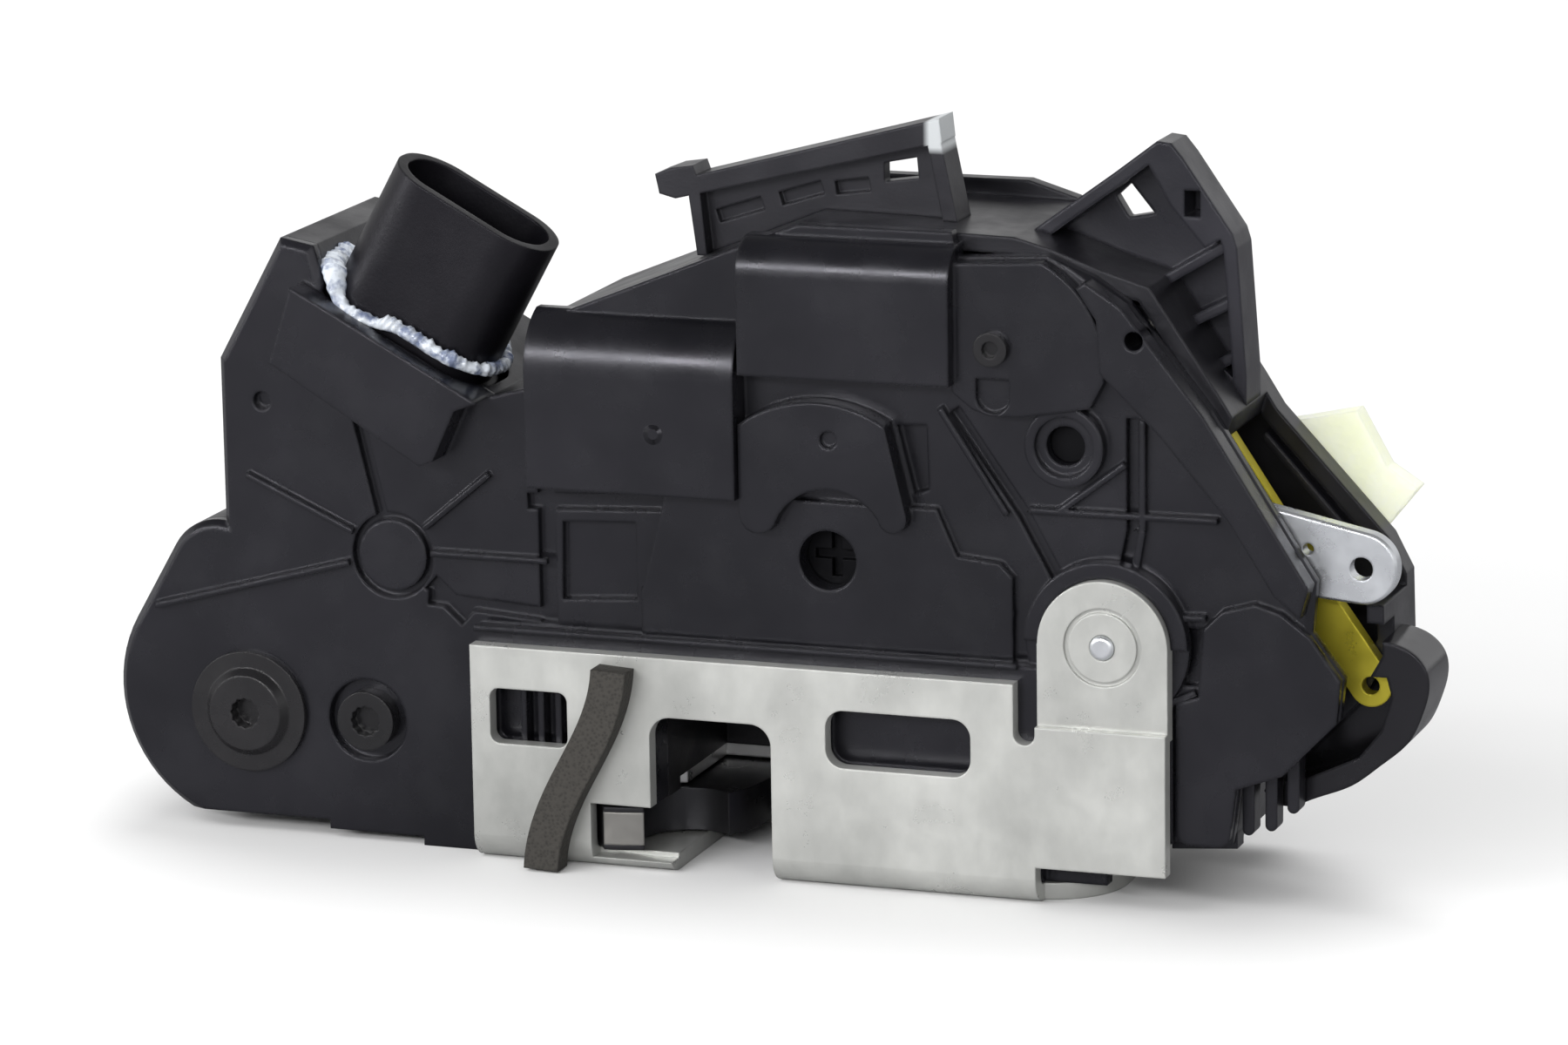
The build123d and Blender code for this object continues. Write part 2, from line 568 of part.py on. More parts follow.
with BuildPart() as rear_housing:
    with BuildSketch(behind(rear_d)):
        add(deep_outline())
    extrude(amount=rear_d - skin_back_d)
    back_rim = rear_housing.faces().sort_by(Axis.Y)[-1].outer_wire().edges()
    chamfer(back_rim, 1.0)
    with BuildSketch(behind(deck_d)):
        add(rear_outline())
    extrude(amount=deck_d - skin_back_d)
    for depth, outline in ((rear_d, deep_outline()), (deck_d, rear_outline())):
        with BuildSketch(behind(depth - wall)):
            offset(outline, amount=-wall, kind=Kind.ARC)
        extrude(amount=depth - wall - skin_back_d, mode=Mode.SUBTRACT)
    # rim round the back of the top
    with BuildSketch(behind(rear_d - wall)):
        shape((-3.1, 76.4), (slope_knee[0], crest_z), (28.7, crest_z), (34.6, 77.6), (36.6, 75.6), (34.0, 75.0),
              slope_knee, (-3.1, 74.4))
    extrude(amount=wall)
    # the cable channel's outer wall stands lower than the parting plane, so the levers pass over it
    channel_wall_d = deck_d - wall - channel_wall_h
    with BuildSketch(behind(channel_wall_d)):
        shape((51.6, 76.0), (60.4, 58.0), (59.4, 54.6), (72.4, 40.6), (73.0, 36.0), (90.0, 36.0), (90.0, 76.0))
    extrude(amount=channel_wall_d, mode=Mode.SUBTRACT)
    with BuildSketch(behind(lever_pass_d)):
        shape((72.6, 37.6), (77.6, 29.4), (72.0, 20.0), (90.0, 20.0), (90.0, 37.6))
    extrude(amount=lever_pass_d, mode=Mode.SUBTRACT)
    # the inner lever's lower arm passes over the wall into the guide hood
    with BuildSketch(behind(inner_lever_d + move_gap)):
        shape((68.6, 18.0), (90.0, 18.0), (90.0, 33.4), (72.6, 34.0), (71.0, 26.0))
    extrude(amount=inner_lever_d, mode=Mode.SUBTRACT)
    # floor of the channel, and the inner rib along its outer wall
    with BuildSketch(behind(deck_d)):
        offset(rear_outline(), amount=-wall / 2, kind=Kind.ARC)
        with Locations((leg_right + wall, right_low)):
            Rectangle(3 * lobe_r, 6 * lobe_r, align=(Align.MIN, Align.MIN), mode=Mode.INTERSECT)
    extrude(amount=wall)
    with BuildSketch(behind(deck_d - wall)):
        stroke((60.2, 52.9), (71.2, 40.9), rib_h)
    extrude(amount=channel_wall_h + rib_h)
    # three fins and a ledge below the right lobe
    with BuildSketch(behind(fin_back_d)):
        for x_at, low, high in ((62.3, 9.6, 16.6), (65.0, 10.3, 17.2), (67.6, 12.6, 18.6)):
            stroke((x_at, low), (x_at, high), 2 * rib_w)
            with Locations((x_at, low)):
                Circle(rib_w)
        shape((53.2, 6.6), (61.0, 7.2), (61.0, right_low + wall / 2), (53.2, right_low + wall / 2))
    extrude(amount=fin_back_d - skin_back_d)
    # cradles of the two motors, then the far bearings of their worms
    for x_at, z_at, radius in (
        (lock_motor_x + wall, motor_z, motor_r), (lock_motor_x + motor_l - 2 * wall, motor_z, motor_r),
        (safe_motor_x + wall, safe_motor_z, safe_motor_r),
        (safe_motor_x + motor_l - 2 * wall, safe_motor_z, safe_motor_r),
    ):
        with BuildSketch(Plane.YZ.offset(x_at)):
            with Locations((drive_d - front_reach, z_at)):
                Rectangle(rear_d - wall - drive_d, 1.6 * radius, align=(Align.MIN, Align.CENTER))
                Circle(radius + seat_gap, mode=Mode.SUBTRACT)
        extrude(amount=wall)
    for x_at, z_at, floor_d in ((lock_tail_x, motor_z, rear_d), (safe_tail_x, safe_motor_z, deck_d)):
        with BuildSketch(Plane.YZ.offset(x_at - wall)):
            with Locations((drive_d - front_reach - wall, z_at)):
                Rectangle(floor_d - drive_d, 2 * wall, align=(Align.MIN, Align.CENTER))
            with Locations((drive_d - front_reach, z_at)):
                Circle(motor_shaft_r + pin_gap, mode=Mode.SUBTRACT)
        extrude(amount=wall - move_gap)
    # bosses for the key driver, the second gear, the levers and the screws
    for x_at, z_at, outer, bore, top_d in (
        (key_x, key_z, bearing_r + wall, bearing_r + pin_gap, drive_d + gear_w / 2 + move_gap),
        (boss_x, boss_z, boss_r, boss_hole_r, drive_d + gear_w / 2 + move_gap),
        (flange_x, flange_z, shank_r + wall, shank_r + seat_gap, skin_back_d),
        (sink_x, sink_z, shank_r + wall, shank_r + seat_gap, skin_back_d),
        (33.2, 65.0, 1.2 + rib_w, 1.2, drive_d + gear_w / 2 + move_gap),
    ):
        with BuildSketch(behind(rear_d - wall)):
            with Locations((x_at, z_at)):
                Circle(outer)
        extrude(amount=rear_d - wall - top_d)
        with BuildSketch(behind(rear_d - wall)):
            with Locations((x_at, z_at)):
                Circle(bore)
        extrude(amount=rear_d - wall, mode=Mode.SUBTRACT)
    # room for the foot of the ear's rivet
    with BuildSketch(behind(skin_back_d + rivet_foot)):
        with Locations((tab_x, tab_z)):
            Circle(2 * rivet_r + seat_gap)
    extrude(amount=rivet_foot, mode=Mode.SUBTRACT)
    # glue trough behind the cover's part of it, with a passage for the plug's stem
    with BuildSketch(behind(plug_d + plug_depth / 2 + trough_gap + wall)):
        trough_shape()
    extrude(amount=plug_d + plug_depth / 2 + trough_gap + wall - skin_back_d)
    with BuildSketch(plug_plane.offset(wall)):
        RectangleRounded(plug_w + 2 * trough_gap, plug_depth + 2 * trough_gap, plug_depth / 2)
    extrude(amount=-trough_deep - wall, mode=Mode.SUBTRACT)
    with BuildSketch(plug_plane.offset(-trough_deep)):
        RectangleRounded(plug_w - 4 * plug_wall, plug_depth - 4 * plug_wall, plug_wall)
    extrude(amount=-2 * plug_l, mode=Mode.SUBTRACT)
write(rear_housing, "rear_housing")

# ---------------------------------------------------------------- latch case and its mechanism
catch_top = catch_low + catch_h
cavity_top = catch_top + move_gap
counter_t = 1.5            # steel counter plate over the catch and the pawl
case_back = latch_back_d - front_reach
sweep_r = step_r + move_gap
spring_r = 4.9             # middle of the torsion springs' wire
wire_r = 0.55
spring_h = 4.4
buffer_l = 9.0
buffer_front = skin_back_d - front_reach + 0.5
buffer_back = buffer_front + buffer_l
buffer_h = 6.6
pawl_arm_y = case_back - wall - pawl_arm_r - 3 * move_gap
switch_x = -4.4            # pawl switch over the counter plate
switch_y = 9.6
switch_w = 8.4
switch_l = 9.6
switch_h = 5.0


def catch_plane(height):
    """Plane on the catch's pivot, turned so that its +X runs along the open catch's mouth."""
    turn = radians(-catch_open)
    return Plane(origin=(-catch_arm, 0, height), x_dir=(cos(turn), sin(turn), 0), z_dir=(0, 0, 1))


def catch_outline():
    """Fork of the catch, latched: claw, mouth, heel, step for the pawl and hub."""
    with BuildSketch(mode=Mode.PRIVATE) as fork:
        with BuildLine():
            Line(polar(hub_r, -110), polar(claw_r, claw_angle))
            RadiusArc(polar(claw_r, claw_angle), polar(claw_r, -4), -claw_r)
            Line(polar(claw_r, -4), polar(heel_r, 4))
            RadiusArc(polar(heel_r, 4), polar(heel_r, step_angle), -heel_r)
            Line(polar(heel_r, step_angle), polar(step_r, step_angle))
            RadiusArc(polar(step_r, step_angle), polar(step_r, step_end), -step_r)
            Line(polar(step_r, step_end), polar(hub_r, 130))
            ThreePointArc(polar(hub_r, 130), polar(hub_r, 190), polar(hub_r, -110))
        make_face()
        with Locations((catch_arm, 0)):
            Circle(mouth_half, mode=Mode.SUBTRACT)
            Rectangle(catch_arm, 2 * mouth_half, align=(Align.MIN, Align.CENTER), mode=Mode.SUBTRACT)
    return fork.sketch


def pawl_outline():
    """Pawl with its nose clear of the catch, its hub and the arm that releases it."""
    with BuildSketch(mode=Mode.PRIVATE) as lever:
        nose_low = Vector(*polar(sweep_r + pin_gap, 42)) - Vector(catch_arm, 0)
        nose_high = Vector(*polar(sweep_r + pin_gap, 54)) - Vector(catch_arm, 0)
        shape((nose_low.X, nose_low.Y), (pawl_x, pawl_y - pawl_hub_r), (pawl_x, pawl_y + pawl_hub_r),
              (nose_high.X + wall, nose_high.Y + wall), (nose_high.X, nose_high.Y))
        with Locations((pawl_x, pawl_y)):
            Circle(pawl_hub_r)
        stroke((pawl_x, pawl_y), (pawl_x + wall, pawl_arm_y), 2 * pawl_arm_r)
        with Locations((pawl_x + wall, pawl_arm_y)):
            Circle(pawl_arm_r)
    return lever.sketch


with BuildPart() as latch_case:
    with BuildSketch(Plane.XY.offset(plate_t)) as footprint:
        span(plate_left, leg_right - 1.0, skin_back_d - front_reach, case_back)
        chamfer(footprint.vertices(), wall)
    extrude(amount=rim_z - seat_gap - plate_t)
    # striker's channel
    with BuildSketch(behind(skin_back_d)):
        span(mouth_left, slot_half, plate_t, mouth_top)
    extrude(amount=-(front_reach - skin_back_d + slot_end), mode=Mode.SUBTRACT)
    # room for the catch over its whole swing, and for the pawl
    with BuildSketch(Plane.XY.offset(plate_t)):
        with Locations((-catch_arm, 0)):
            RegularPolygon(sweep_r + pin_gap, 12, major_radius=False)
            Rectangle(4 * sweep_r, 4 * sweep_r, align=(Align.MIN, Align.CENTER), mode=Mode.INTERSECT)
        span(-catch_arm - hub_r - wall, -catch_arm, -sweep_r, sweep_r)
        span(-pawl_hub_r - wall, pawl_x + 10, pawl_y - pawl_hub_r - move_gap, case_back - wall)
    extrude(amount=cavity_top - plate_t, mode=Mode.SUBTRACT)
    # seat of the counter plate
    seat = hub_r + seat_gap
    with BuildSketch(Plane.XY.offset(cavity_top)):
        shape((-catch_arm - seat, -seat), (-catch_arm + seat, -seat), (pawl_x + seat, pawl_y - seat),
              (pawl_x + seat, pawl_y + seat), (pawl_x - seat, pawl_y + seat), (-catch_arm - seat, seat))
    extrude(amount=counter_t, mode=Mode.SUBTRACT)
    # wells over the pivot rivets for their heads and springs, the buffer's pocket and the switch's
    with BuildSketch(Plane.XY.offset(cavity_top)):
        with Locations((-catch_arm, 0), (pawl_x, pawl_y)):
            RegularPolygon(spring_r + wire_r + move_gap, 8, major_radius=False)
    extrude(amount=counter_t + spring_h + 2 * move_gap, mode=Mode.SUBTRACT)
    with BuildSketch(Plane.XY.offset(plate_t)):
        span(slot_half - wall, slot_half + wall, buffer_front, buffer_back)
    extrude(amount=buffer_h, mode=Mode.SUBTRACT)
    with BuildSketch(Plane.XY.offset(cavity_top + counter_t)):
        span(switch_x - seat_gap, switch_x + switch_w + seat_gap, switch_y - seat_gap, switch_y + switch_l + seat_gap)
    extrude(amount=switch_h + seat_gap, mode=Mode.SUBTRACT)
    # clearance over the bolt collars, open to the nearest side
    with BuildSketch(Plane.XY.offset(plate_t)):
        room = collar_r + seat_gap
        for x_at, y_at, y_edge in ((*bolt_left, case_back), (*bolt_back, case_back), (*bolt_front, -front_reach)):
            away = 1 if y_edge > y_at else -1
            span(x_at - room, x_at + room, *sorted((y_at - away * room, y_edge)))
    extrude(amount=3 * collar_h, mode=Mode.SUBTRACT)
    # pockets open to the back, which leave the case as ribs
    with BuildSketch(Plane.XZ.offset(-case_back)):
        for left, right in ((-29.2, -24.0), (-22.4, -10.2), (8.6, 24.0), (25.4, 33.0), (34.4, 43.0)):
            span(left, right, 16.5, 26.0)
    extrude(amount=case_back - slot_end - wall, mode=Mode.SUBTRACT)
write(latch_case, "latch_case")

with BuildPart() as catch:
    steel_t = catch_h - 2 * jacket
    with BuildSketch(catch_plane(catch_low + jacket)) as fork_steel:
        offset(catch_outline(), amount=-jacket, kind=Kind.ARC)
        # bare end of the claw, flush with the jacket
        tip_angle = (claw_angle - degrees(mouth_half / claw_r)) / 2
        with Locations(polar(claw_r - wall, tip_angle)):
            Rectangle(2 * wall, tip_w, rotation=tip_angle)
        add(catch_outline(), mode=Mode.INTERSECT)
        Circle(pivot_r + pin_gap, mode=Mode.SUBTRACT)
    extrude(amount=steel_t)
write(catch, "catch")

with BuildPart() as catch_jacket:
    with BuildSketch(catch_plane(catch_low)):
        add(catch_outline())
        Circle(pivot_r + wall, mode=Mode.SUBTRACT)
    extrude(amount=catch_h)
    add(catch.part, mode=Mode.SUBTRACT)
write(catch_jacket, "catch_jacket")

with BuildPart() as pawl:
    with BuildSketch(Plane.XY.offset(catch_low + jacket)):
        add(pawl_outline())
        with Locations((pawl_x, pawl_y)):
            Circle(pawl_pin_r + pin_gap, mode=Mode.SUBTRACT)
        with Locations((pawl_x + wall, pawl_arm_y)):
            Circle(pawl_peg_r, mode=Mode.SUBTRACT)
    extrude(amount=steel_t)
write(pawl, "pawl")

with BuildPart() as pawl_jacket:
    for level in (catch_low, catch_low + jacket + steel_t):
        with BuildSketch(Plane.XY.offset(level)):
            offset(pawl_outline(), amount=-jacket, kind=Kind.ARC)
            with Locations((pawl_x, pawl_y)):
                Circle(pawl_pin_r + wall / 2, mode=Mode.SUBTRACT)
        extrude(amount=jacket)
    # peg through the arm's end that ties the two skins together
    with BuildSketch(Plane.XY.offset(catch_low)):
        with Locations((pawl_x + wall, pawl_arm_y)):
            Circle(pawl_peg_r)
    extrude(amount=catch_h)
    add(pawl.part, mode=Mode.SUBTRACT)
write(pawl_jacket, "pawl_jacket")

with BuildPart() as counter_plate:
    with BuildSketch(Plane.XY.offset(cavity_top)):
        with Locations((-catch_arm, 0), (pawl_x, pawl_y)):
            Circle(hub_r)
        make_hull()
        span(mouth_left - seat_gap, slot_half + seat_gap, -front_reach, slot_end + seat_gap)
        with Locations(((mouth_left + slot_half) / 2, (slot_end - front_reach) / 2)):
            Rectangle(slot_half - mouth_left + 2 * seat_gap, front_reach + slot_end + 2 * seat_gap,
                      mode=Mode.SUBTRACT)
        with Locations((-catch_arm, 0), (pawl_x, pawl_y)):
            Circle(rivet_stub_r, mode=Mode.SUBTRACT)
    extrude(amount=counter_t)
write(counter_plate, "counter_plate")

for name, x_at, y_at, shaft_r in (
    ("catch_pin", -catch_arm, 0, pivot_r), ("pawl_pin", pawl_x, pawl_y, pawl_pin_r),
):
    with BuildPart() as rivet:
        with BuildSketch(Plane.XY.offset(0.2)):
            with Locations((x_at, y_at)):
                Circle(rivet_stub_r)
        extrude(amount=cavity_top + counter_t + spring_h)
        with BuildSketch(Plane.XY.offset(plate_t)):
            with Locations((x_at, y_at)):
                Circle(shaft_r)
        extrude(amount=cavity_top - plate_t)
        with BuildSketch(Plane.XY.offset(cavity_top + counter_t)):
            with Locations((x_at, y_at)):
                Circle(rivet_stub_r + wire_r)
        extrude(amount=1.0)
    write(rivet, name)

for name, x_at, y_at in (("catch_spring", -catch_arm, 0), ("pawl_spring", pawl_x, pawl_y)):
    with BuildPart() as spring:
        with BuildLine() as wire:
            Helix(pitch=2.3 * wire_r, height=5.6 * wire_r, radius=spring_r,
                  center=(x_at, y_at, cavity_top + counter_t + wire_r + 2 * seat_gap))
        coil = wire.edges()[0]
        with BuildSketch(Plane(origin=coil @ 0, z_dir=coil % 0)):
            RegularPolygon(wire_r, 6)
        sweep(path=coil, is_frenet=True)
    write(spring, name)

with BuildPart() as striker_buffer:
    with BuildSketch(Plane.XY.offset(plate_t)) as pad_shape:
        span(slot_half - 0.5, slot_half + wall - seat_gap, buffer_front + seat_gap, buffer_back - seat_gap)
        fillet(pad_shape.vertices().sort_by(Axis.X)[:2], 0.45)
    extrude(amount=buffer_h - seat_gap)
write(striker_buffer, "striker_buffer")

with BuildPart() as pawl_switch:
    with BuildSketch(Plane.XY.offset(cavity_top + counter_t)):
        span(switch_x, switch_x + switch_w, switch_y, switch_y + switch_l)
    extrude(amount=switch_h)
    chamfer(pawl_switch.edges().group_by(Axis.Z)[-1], 0.4)
write(pawl_switch, "pawl_switch")

# ---------------------------------------------------------------- lock drives
worm_pitch = {
    "lock": 2 * pi * lock_pitch_r / lock_teeth,
    "safe": 2 * pi * safe_pitch_r / safe_teeth,
}
worm_turns = 4
nose_l = 4.0               # bearing nose of a motor
driver_front_d = skin_back_d + move_gap            # head of the key driver, behind the cover's bore
driver_back_d = drive_d - gear_w / 2 - move_gap
drive_y = drive_d - front_reach

for name, x_at, z_at, radius in (
    ("lock_motor", lock_motor_x, motor_z, motor_r),
    ("safe_motor", safe_motor_x, safe_motor_z, safe_motor_r),
):
    with BuildPart() as motor:
        with BuildSketch(Plane.YZ.offset(x_at)):
            with Locations((drive_y, z_at)):
                Circle(radius)
        extrude(amount=motor_l - nose_l)
        chamfer(motor.edges().filter_by(GeomType.CIRCLE), 0.6)
        with BuildSketch(Plane.YZ.offset(x_at + motor_l - nose_l)):
            with Locations((drive_y, z_at)):
                Circle(radius / 2.5)
        extrude(amount=nose_l / 2)
        with BuildSketch(Plane.YZ.offset(x_at + motor_l - nose_l)):
            with Locations((drive_y, z_at)):
                Circle(motor_shaft_r + pin_gap)
        extrude(amount=nose_l / 2, mode=Mode.SUBTRACT)
        with BuildSketch(Plane.YZ.offset(x_at + motor_l - 2 * nose_l)):
            with Locations((drive_y, z_at)):
                Circle(motor_shaft_r + pin_gap)
        extrude(amount=nose_l, mode=Mode.SUBTRACT)
    write(motor, name)

for name, gear_x, z_at, pitch, motor_end, tail in (
    ("lock_worm", key_x, motor_z, worm_pitch["lock"], lock_motor_x + motor_l, lock_tail_x),
    ("safe_worm", boss_x, safe_motor_z, worm_pitch["safe"], safe_motor_x + motor_l, safe_tail_x),
):
    core_r = worm_pitch_r - tooth - seat_gap
    thread_start = gear_x - worm_turns / 2 * pitch
    with BuildPart() as worm:
        with BuildSketch(Plane.YZ.offset(thread_start - pitch / 2)):
            with Locations((drive_y, z_at)):
                Circle(core_r)
        extrude(amount=(worm_turns + 1) * pitch)
        with BuildSketch(Plane.YZ.offset(motor_end - nose_l - nose_l / 2)):
            with Locations((drive_y, z_at)):
                Circle(motor_shaft_r)
        extrude(amount=tail - motor_end + 1.5 * nose_l)
        with BuildLine() as axis_line:
            Helix(pitch=pitch, height=worm_turns * pitch, radius=core_r,
                  center=(thread_start, drive_y, z_at), direction=(1, 0, 0))
        thread = axis_line.edges()[0]
        outward = (thread @ 0) - Vector((thread @ 0).X, drive_y, z_at)
        with BuildSketch(Plane(origin=thread @ 0, x_dir=outward, z_dir=thread % 0)):
            Polygon((-0.3, -0.62), (2 * tooth, -0.3), (2 * tooth, 0.3), (-0.3, 0.62), align=None)
        sweep(path=thread, is_frenet=True)
    write(worm, name)

for name, x_at, z_at, teeth, pitch_r, bore, rim, arc in (
    ("lock_gear", key_x, key_z, lock_teeth, lock_pitch_r, bearing_r + pin_gap, 3.0, lock_arc),
    ("safe_gear", boss_x, boss_z, safe_teeth, safe_pitch_r, 0, 2.6, 360),
):
    root_r = pitch_r - tooth - seat_gap
    cut = teeth if arc == 360 else round(arc * teeth / 360)
    with BuildPart() as gear:
        with BuildSketch(behind(drive_d + gear_w / 2)):
            with Locations((x_at, z_at)):
                Circle(root_r)
            if arc < 360:
                half = arc / 2 + 2
                shape((x_at, z_at), (x_at + 2 * root_r, z_at + 2 * root_r / tan(radians(half))),
                      (x_at - 2 * root_r, z_at + 2 * root_r / tan(radians(half))), mode=Mode.INTERSECT)
                with Locations((x_at, z_at)):
                    Circle(bearing_r + 2 * wall)
            with Locations((x_at, z_at)):
                with PolarLocations(root_r - seat_gap, cut, start_angle=90 - cut // 2 * 360 / teeth,
                                    angular_range=cut * 360 / teeth):
                    Trapezoid(2 * tooth + 0.3, 1.15, 74, rotation=-90, align=(Align.CENTER, Align.MIN))
        extrude(amount=gear_w)
        # web thinner than the rim, and a hub
        with BuildSketch(behind(drive_d - gear_w / 2 + 1.0)):
            with Locations((x_at, z_at)):
                Circle(root_r - rim)
                Circle(bearing_r + 2 * wall, mode=Mode.SUBTRACT)
        extrude(amount=1.0, mode=Mode.SUBTRACT)
        if bore:
            with BuildSketch(behind(drive_d + gear_w)):
                with Locations((x_at, z_at)):
                    Circle(bore)
            extrude(amount=2 * gear_w, mode=Mode.SUBTRACT)
        else:
            # trunnions that run in the cover's boss and in the rear housing's
            with BuildSketch(behind(drive_d + gear_w / 2 + 2 * wall)):
                with Locations((x_at, z_at)):
                    Circle(boss_hole_r - pin_gap)
            extrude(amount=drive_d + gear_w / 2 + 2 * wall - field_d - rib_h)
    write(gear, name)

with BuildPart() as key_driver:
    with BuildSketch(behind(driver_back_d)):
        with Locations((key_x, key_z)):
            Circle(key_r + wall / 2)
    extrude(amount=driver_back_d - driver_front_d)
    with BuildSketch(behind(drive_d + gear_w / 2 + 4 * wall)):
        with Locations((key_x, key_z)):
            Circle(bearing_r)
    extrude(amount=drive_d + gear_w / 2 + 4 * wall - driver_front_d - wall / 2)
    # cross slot for the key cylinder's tail
    with BuildSketch(behind(driver_front_d + wall / 2)):
        with Locations((key_x, key_z)):
            Rectangle(1.2, 1.5 * key_r)
            Rectangle(1.5 * key_r, 1.2)
    extrude(amount=wall, mode=Mode.SUBTRACT)
write(key_driver, "key_driver")

# ---------------------------------------------------------------- plug and circuit
with BuildPart() as plug:
    with BuildSketch(plug_plane.offset(-trough_deep)):
        RectangleRounded(plug_w + trough_gap, plug_depth + trough_gap, plug_depth / 2)
    extrude(amount=trough_deep / 2)
    with BuildSketch(plug_plane.offset(-trough_deep)):
        RectangleRounded(plug_w, plug_depth, plug_depth / 2 - 0.4)
    extrude(amount=trough_deep + plug_l)
    with BuildSketch(plug_plane.offset(wall)):
        RectangleRounded(plug_w - 2 * plug_wall, plug_depth - 2 * plug_wall, plug_depth / 2 - 0.4 - plug_wall)
    extrude(amount=plug_l, mode=Mode.SUBTRACT)
    # stem into the housing
    with BuildSketch(plug_plane.offset(-trough_deep - 3 * wall)):
        Rectangle(plug_w - 4 * plug_wall - 2 * wall, plug_depth - 4 * plug_wall - wall)
    extrude(amount=3 * wall)
    with BuildSketch(plug_plane.offset(-trough_deep - 4 * wall)):
        with GridLocations(2.6, 3.0, 5, 2):
            Rectangle(pin_w, pin_w)
    extrude(amount=2 * plug_l, mode=Mode.SUBTRACT)
write(plug, "plug")

with BuildPart() as plug_pins:
    with BuildSketch(plug_plane.offset(-trough_deep - 4 * wall)):
        with GridLocations(2.6, 3.0, 5, 2):
            Rectangle(pin_w, pin_w)
    extrude(amount=trough_deep + 4 * wall + plug_l / 2)
write(plug_pins, "plug_pins")

with BuildPart() as sealing_bead:
    with BuildSketch(plug_plane.offset(-trough_deep / 2)):
        RectangleRounded(plug_w + 2 * trough_gap - seat_gap, plug_depth + 2 * trough_gap - seat_gap, plug_depth / 2)
        RectangleRounded(plug_w, plug_depth, plug_depth / 2 - 0.4, mode=Mode.SUBTRACT)
    extrude(amount=trough_deep / 2 + 0.3)
write(sealing_bead, "sealing_bead")

with BuildPart() as circuit_carrier:
    with BuildSketch(behind(rear_d - wall)):
        shape((-58.0, 44.0), (-58.0, 56.0), (-36.0, 50.0), (-24.0, 51.0), (-19.0, 60.0), (30.0, 72.0),
              (30.0, 45.0), (22.0, 30.5), (-26.0, 30.5))
        for x_at, z_at, outer in ((key_x, key_z, bearing_r + wall), (33.2, 65.0, 1.2 + rib_w)):
            with Locations((x_at, z_at)):
                Circle(outer + move_gap, mode=Mode.SUBTRACT)
        for x_at, z_at, radius in (
            (lock_motor_x + wall, motor_z, motor_r), (lock_motor_x + motor_l - 2 * wall, motor_z, motor_r),
            (safe_motor_x + wall, safe_motor_z, safe_motor_r),
            (safe_motor_x + motor_l - 2 * wall, safe_motor_z, safe_motor_r),
        ):
            with Locations((x_at + wall / 2, z_at)):
                Rectangle(wall + 2 * seat_gap, 1.6 * radius + 2 * seat_gap, mode=Mode.SUBTRACT)
        with Locations((lock_tail_x - wall / 2, motor_z)):
            Rectangle(wall + 2 * seat_gap, 2 * wall + 2 * seat_gap, mode=Mode.SUBTRACT)
    extrude(amount=wall)
write(circuit_carrier, "circuit_carrier")

with BuildPart() as lock_switches:
    with BuildSketch(behind(rear_d - 2 * wall)):
        with Locations((-8.0, 38.0), (-16.0, 38.0)):
            Rectangle(5.0, 9.0)
    extrude(amount=6.0)
    with BuildSketch(behind(rear_d - 2 * wall - 6.0)):
        with Locations((-8.0, 40.0), (-16.0, 40.0)):
            Rectangle(2.0, 1.5)
    extrude(amount=0.8)
write(lock_switches, "lock_switches")

# ---------------------------------------------------------------- release levers
outer_front_d = outer_lever_d - lever_t
with BuildPart() as outer_release_lever:
    with BuildSketch(behind(outer_lever_d)):
        with Locations((outer_pivot_x, outer_pivot_z)):
            Circle(outer_hub_r)
        with Locations((eye_x, eye_z)):
            Circle(eye_r)
        make_hull()
        with Locations((outer_pivot_x, outer_pivot_z)):
            Circle(lever_pin_r + pin_gap, mode=Mode.SUBTRACT)
        with Locations((eye_x, eye_z)):
            Circle(eye_hole_r, mode=Mode.SUBTRACT)
        with Locations((69.1, 42.9)):
            Circle(eye_hole_r / 2, mode=Mode.SUBTRACT)
    extrude(amount=lever_t)
    chamfer(outer_release_lever.edges().group_by(Axis.Y)[0].sort_by(SortBy.LENGTH)[-3:], 0.3)
write(outer_release_lever, "outer_release_lever")

with BuildPart() as outer_lever_pin:
    with BuildSketch(behind(outer_lever_d + move_gap)):
        with Locations((outer_pivot_x, outer_pivot_z)):
            Circle(lever_pin_r)
    extrude(amount=outer_lever_d + move_gap - skin_back_d)
    with BuildSketch(behind(outer_lever_d + 3 * move_gap)):
        with Locations((outer_pivot_x, outer_pivot_z)):
            Circle(lever_pin_r + wall / 2)
    extrude(amount=2 * move_gap)
write(outer_lever_pin, "outer_lever_pin")

with BuildPart() as inner_release_lever:
    with BuildSketch(behind(inner_lever_d)):
        for end in (inner_arm_top, inner_arm_low):
            stroke((inner_pivot_x, inner_pivot_z), end, 2 * inner_half)
            with Locations(end):
                Circle(inner_half)
        with Locations((inner_pivot_x, inner_pivot_z)):
            Circle(inner_half + wall)
            Circle(lever_pin_r + pin_gap, mode=Mode.SUBTRACT)
        with Locations(inner_arm_low):
            Circle(eye_hole_r - 0.3, mode=Mode.SUBTRACT)
    extrude(amount=lever_t)
write(inner_release_lever, "inner_release_lever")

with BuildPart() as inner_lever_pin:
    with BuildSketch(behind(deck_d - wall)):
        with Locations((inner_pivot_x, inner_pivot_z)):
            Circle(lever_pin_r + wall / 2)
    extrude(amount=deck_d - wall - inner_lever_d - move_gap)
    with BuildSketch(behind(deck_d - wall)):
        with Locations((inner_pivot_x, inner_pivot_z)):
            Circle(lever_pin_r)
    extrude(amount=deck_d - wall - inner_lever_d + lever_t + move_gap)
write(inner_lever_pin, "inner_lever_pin")

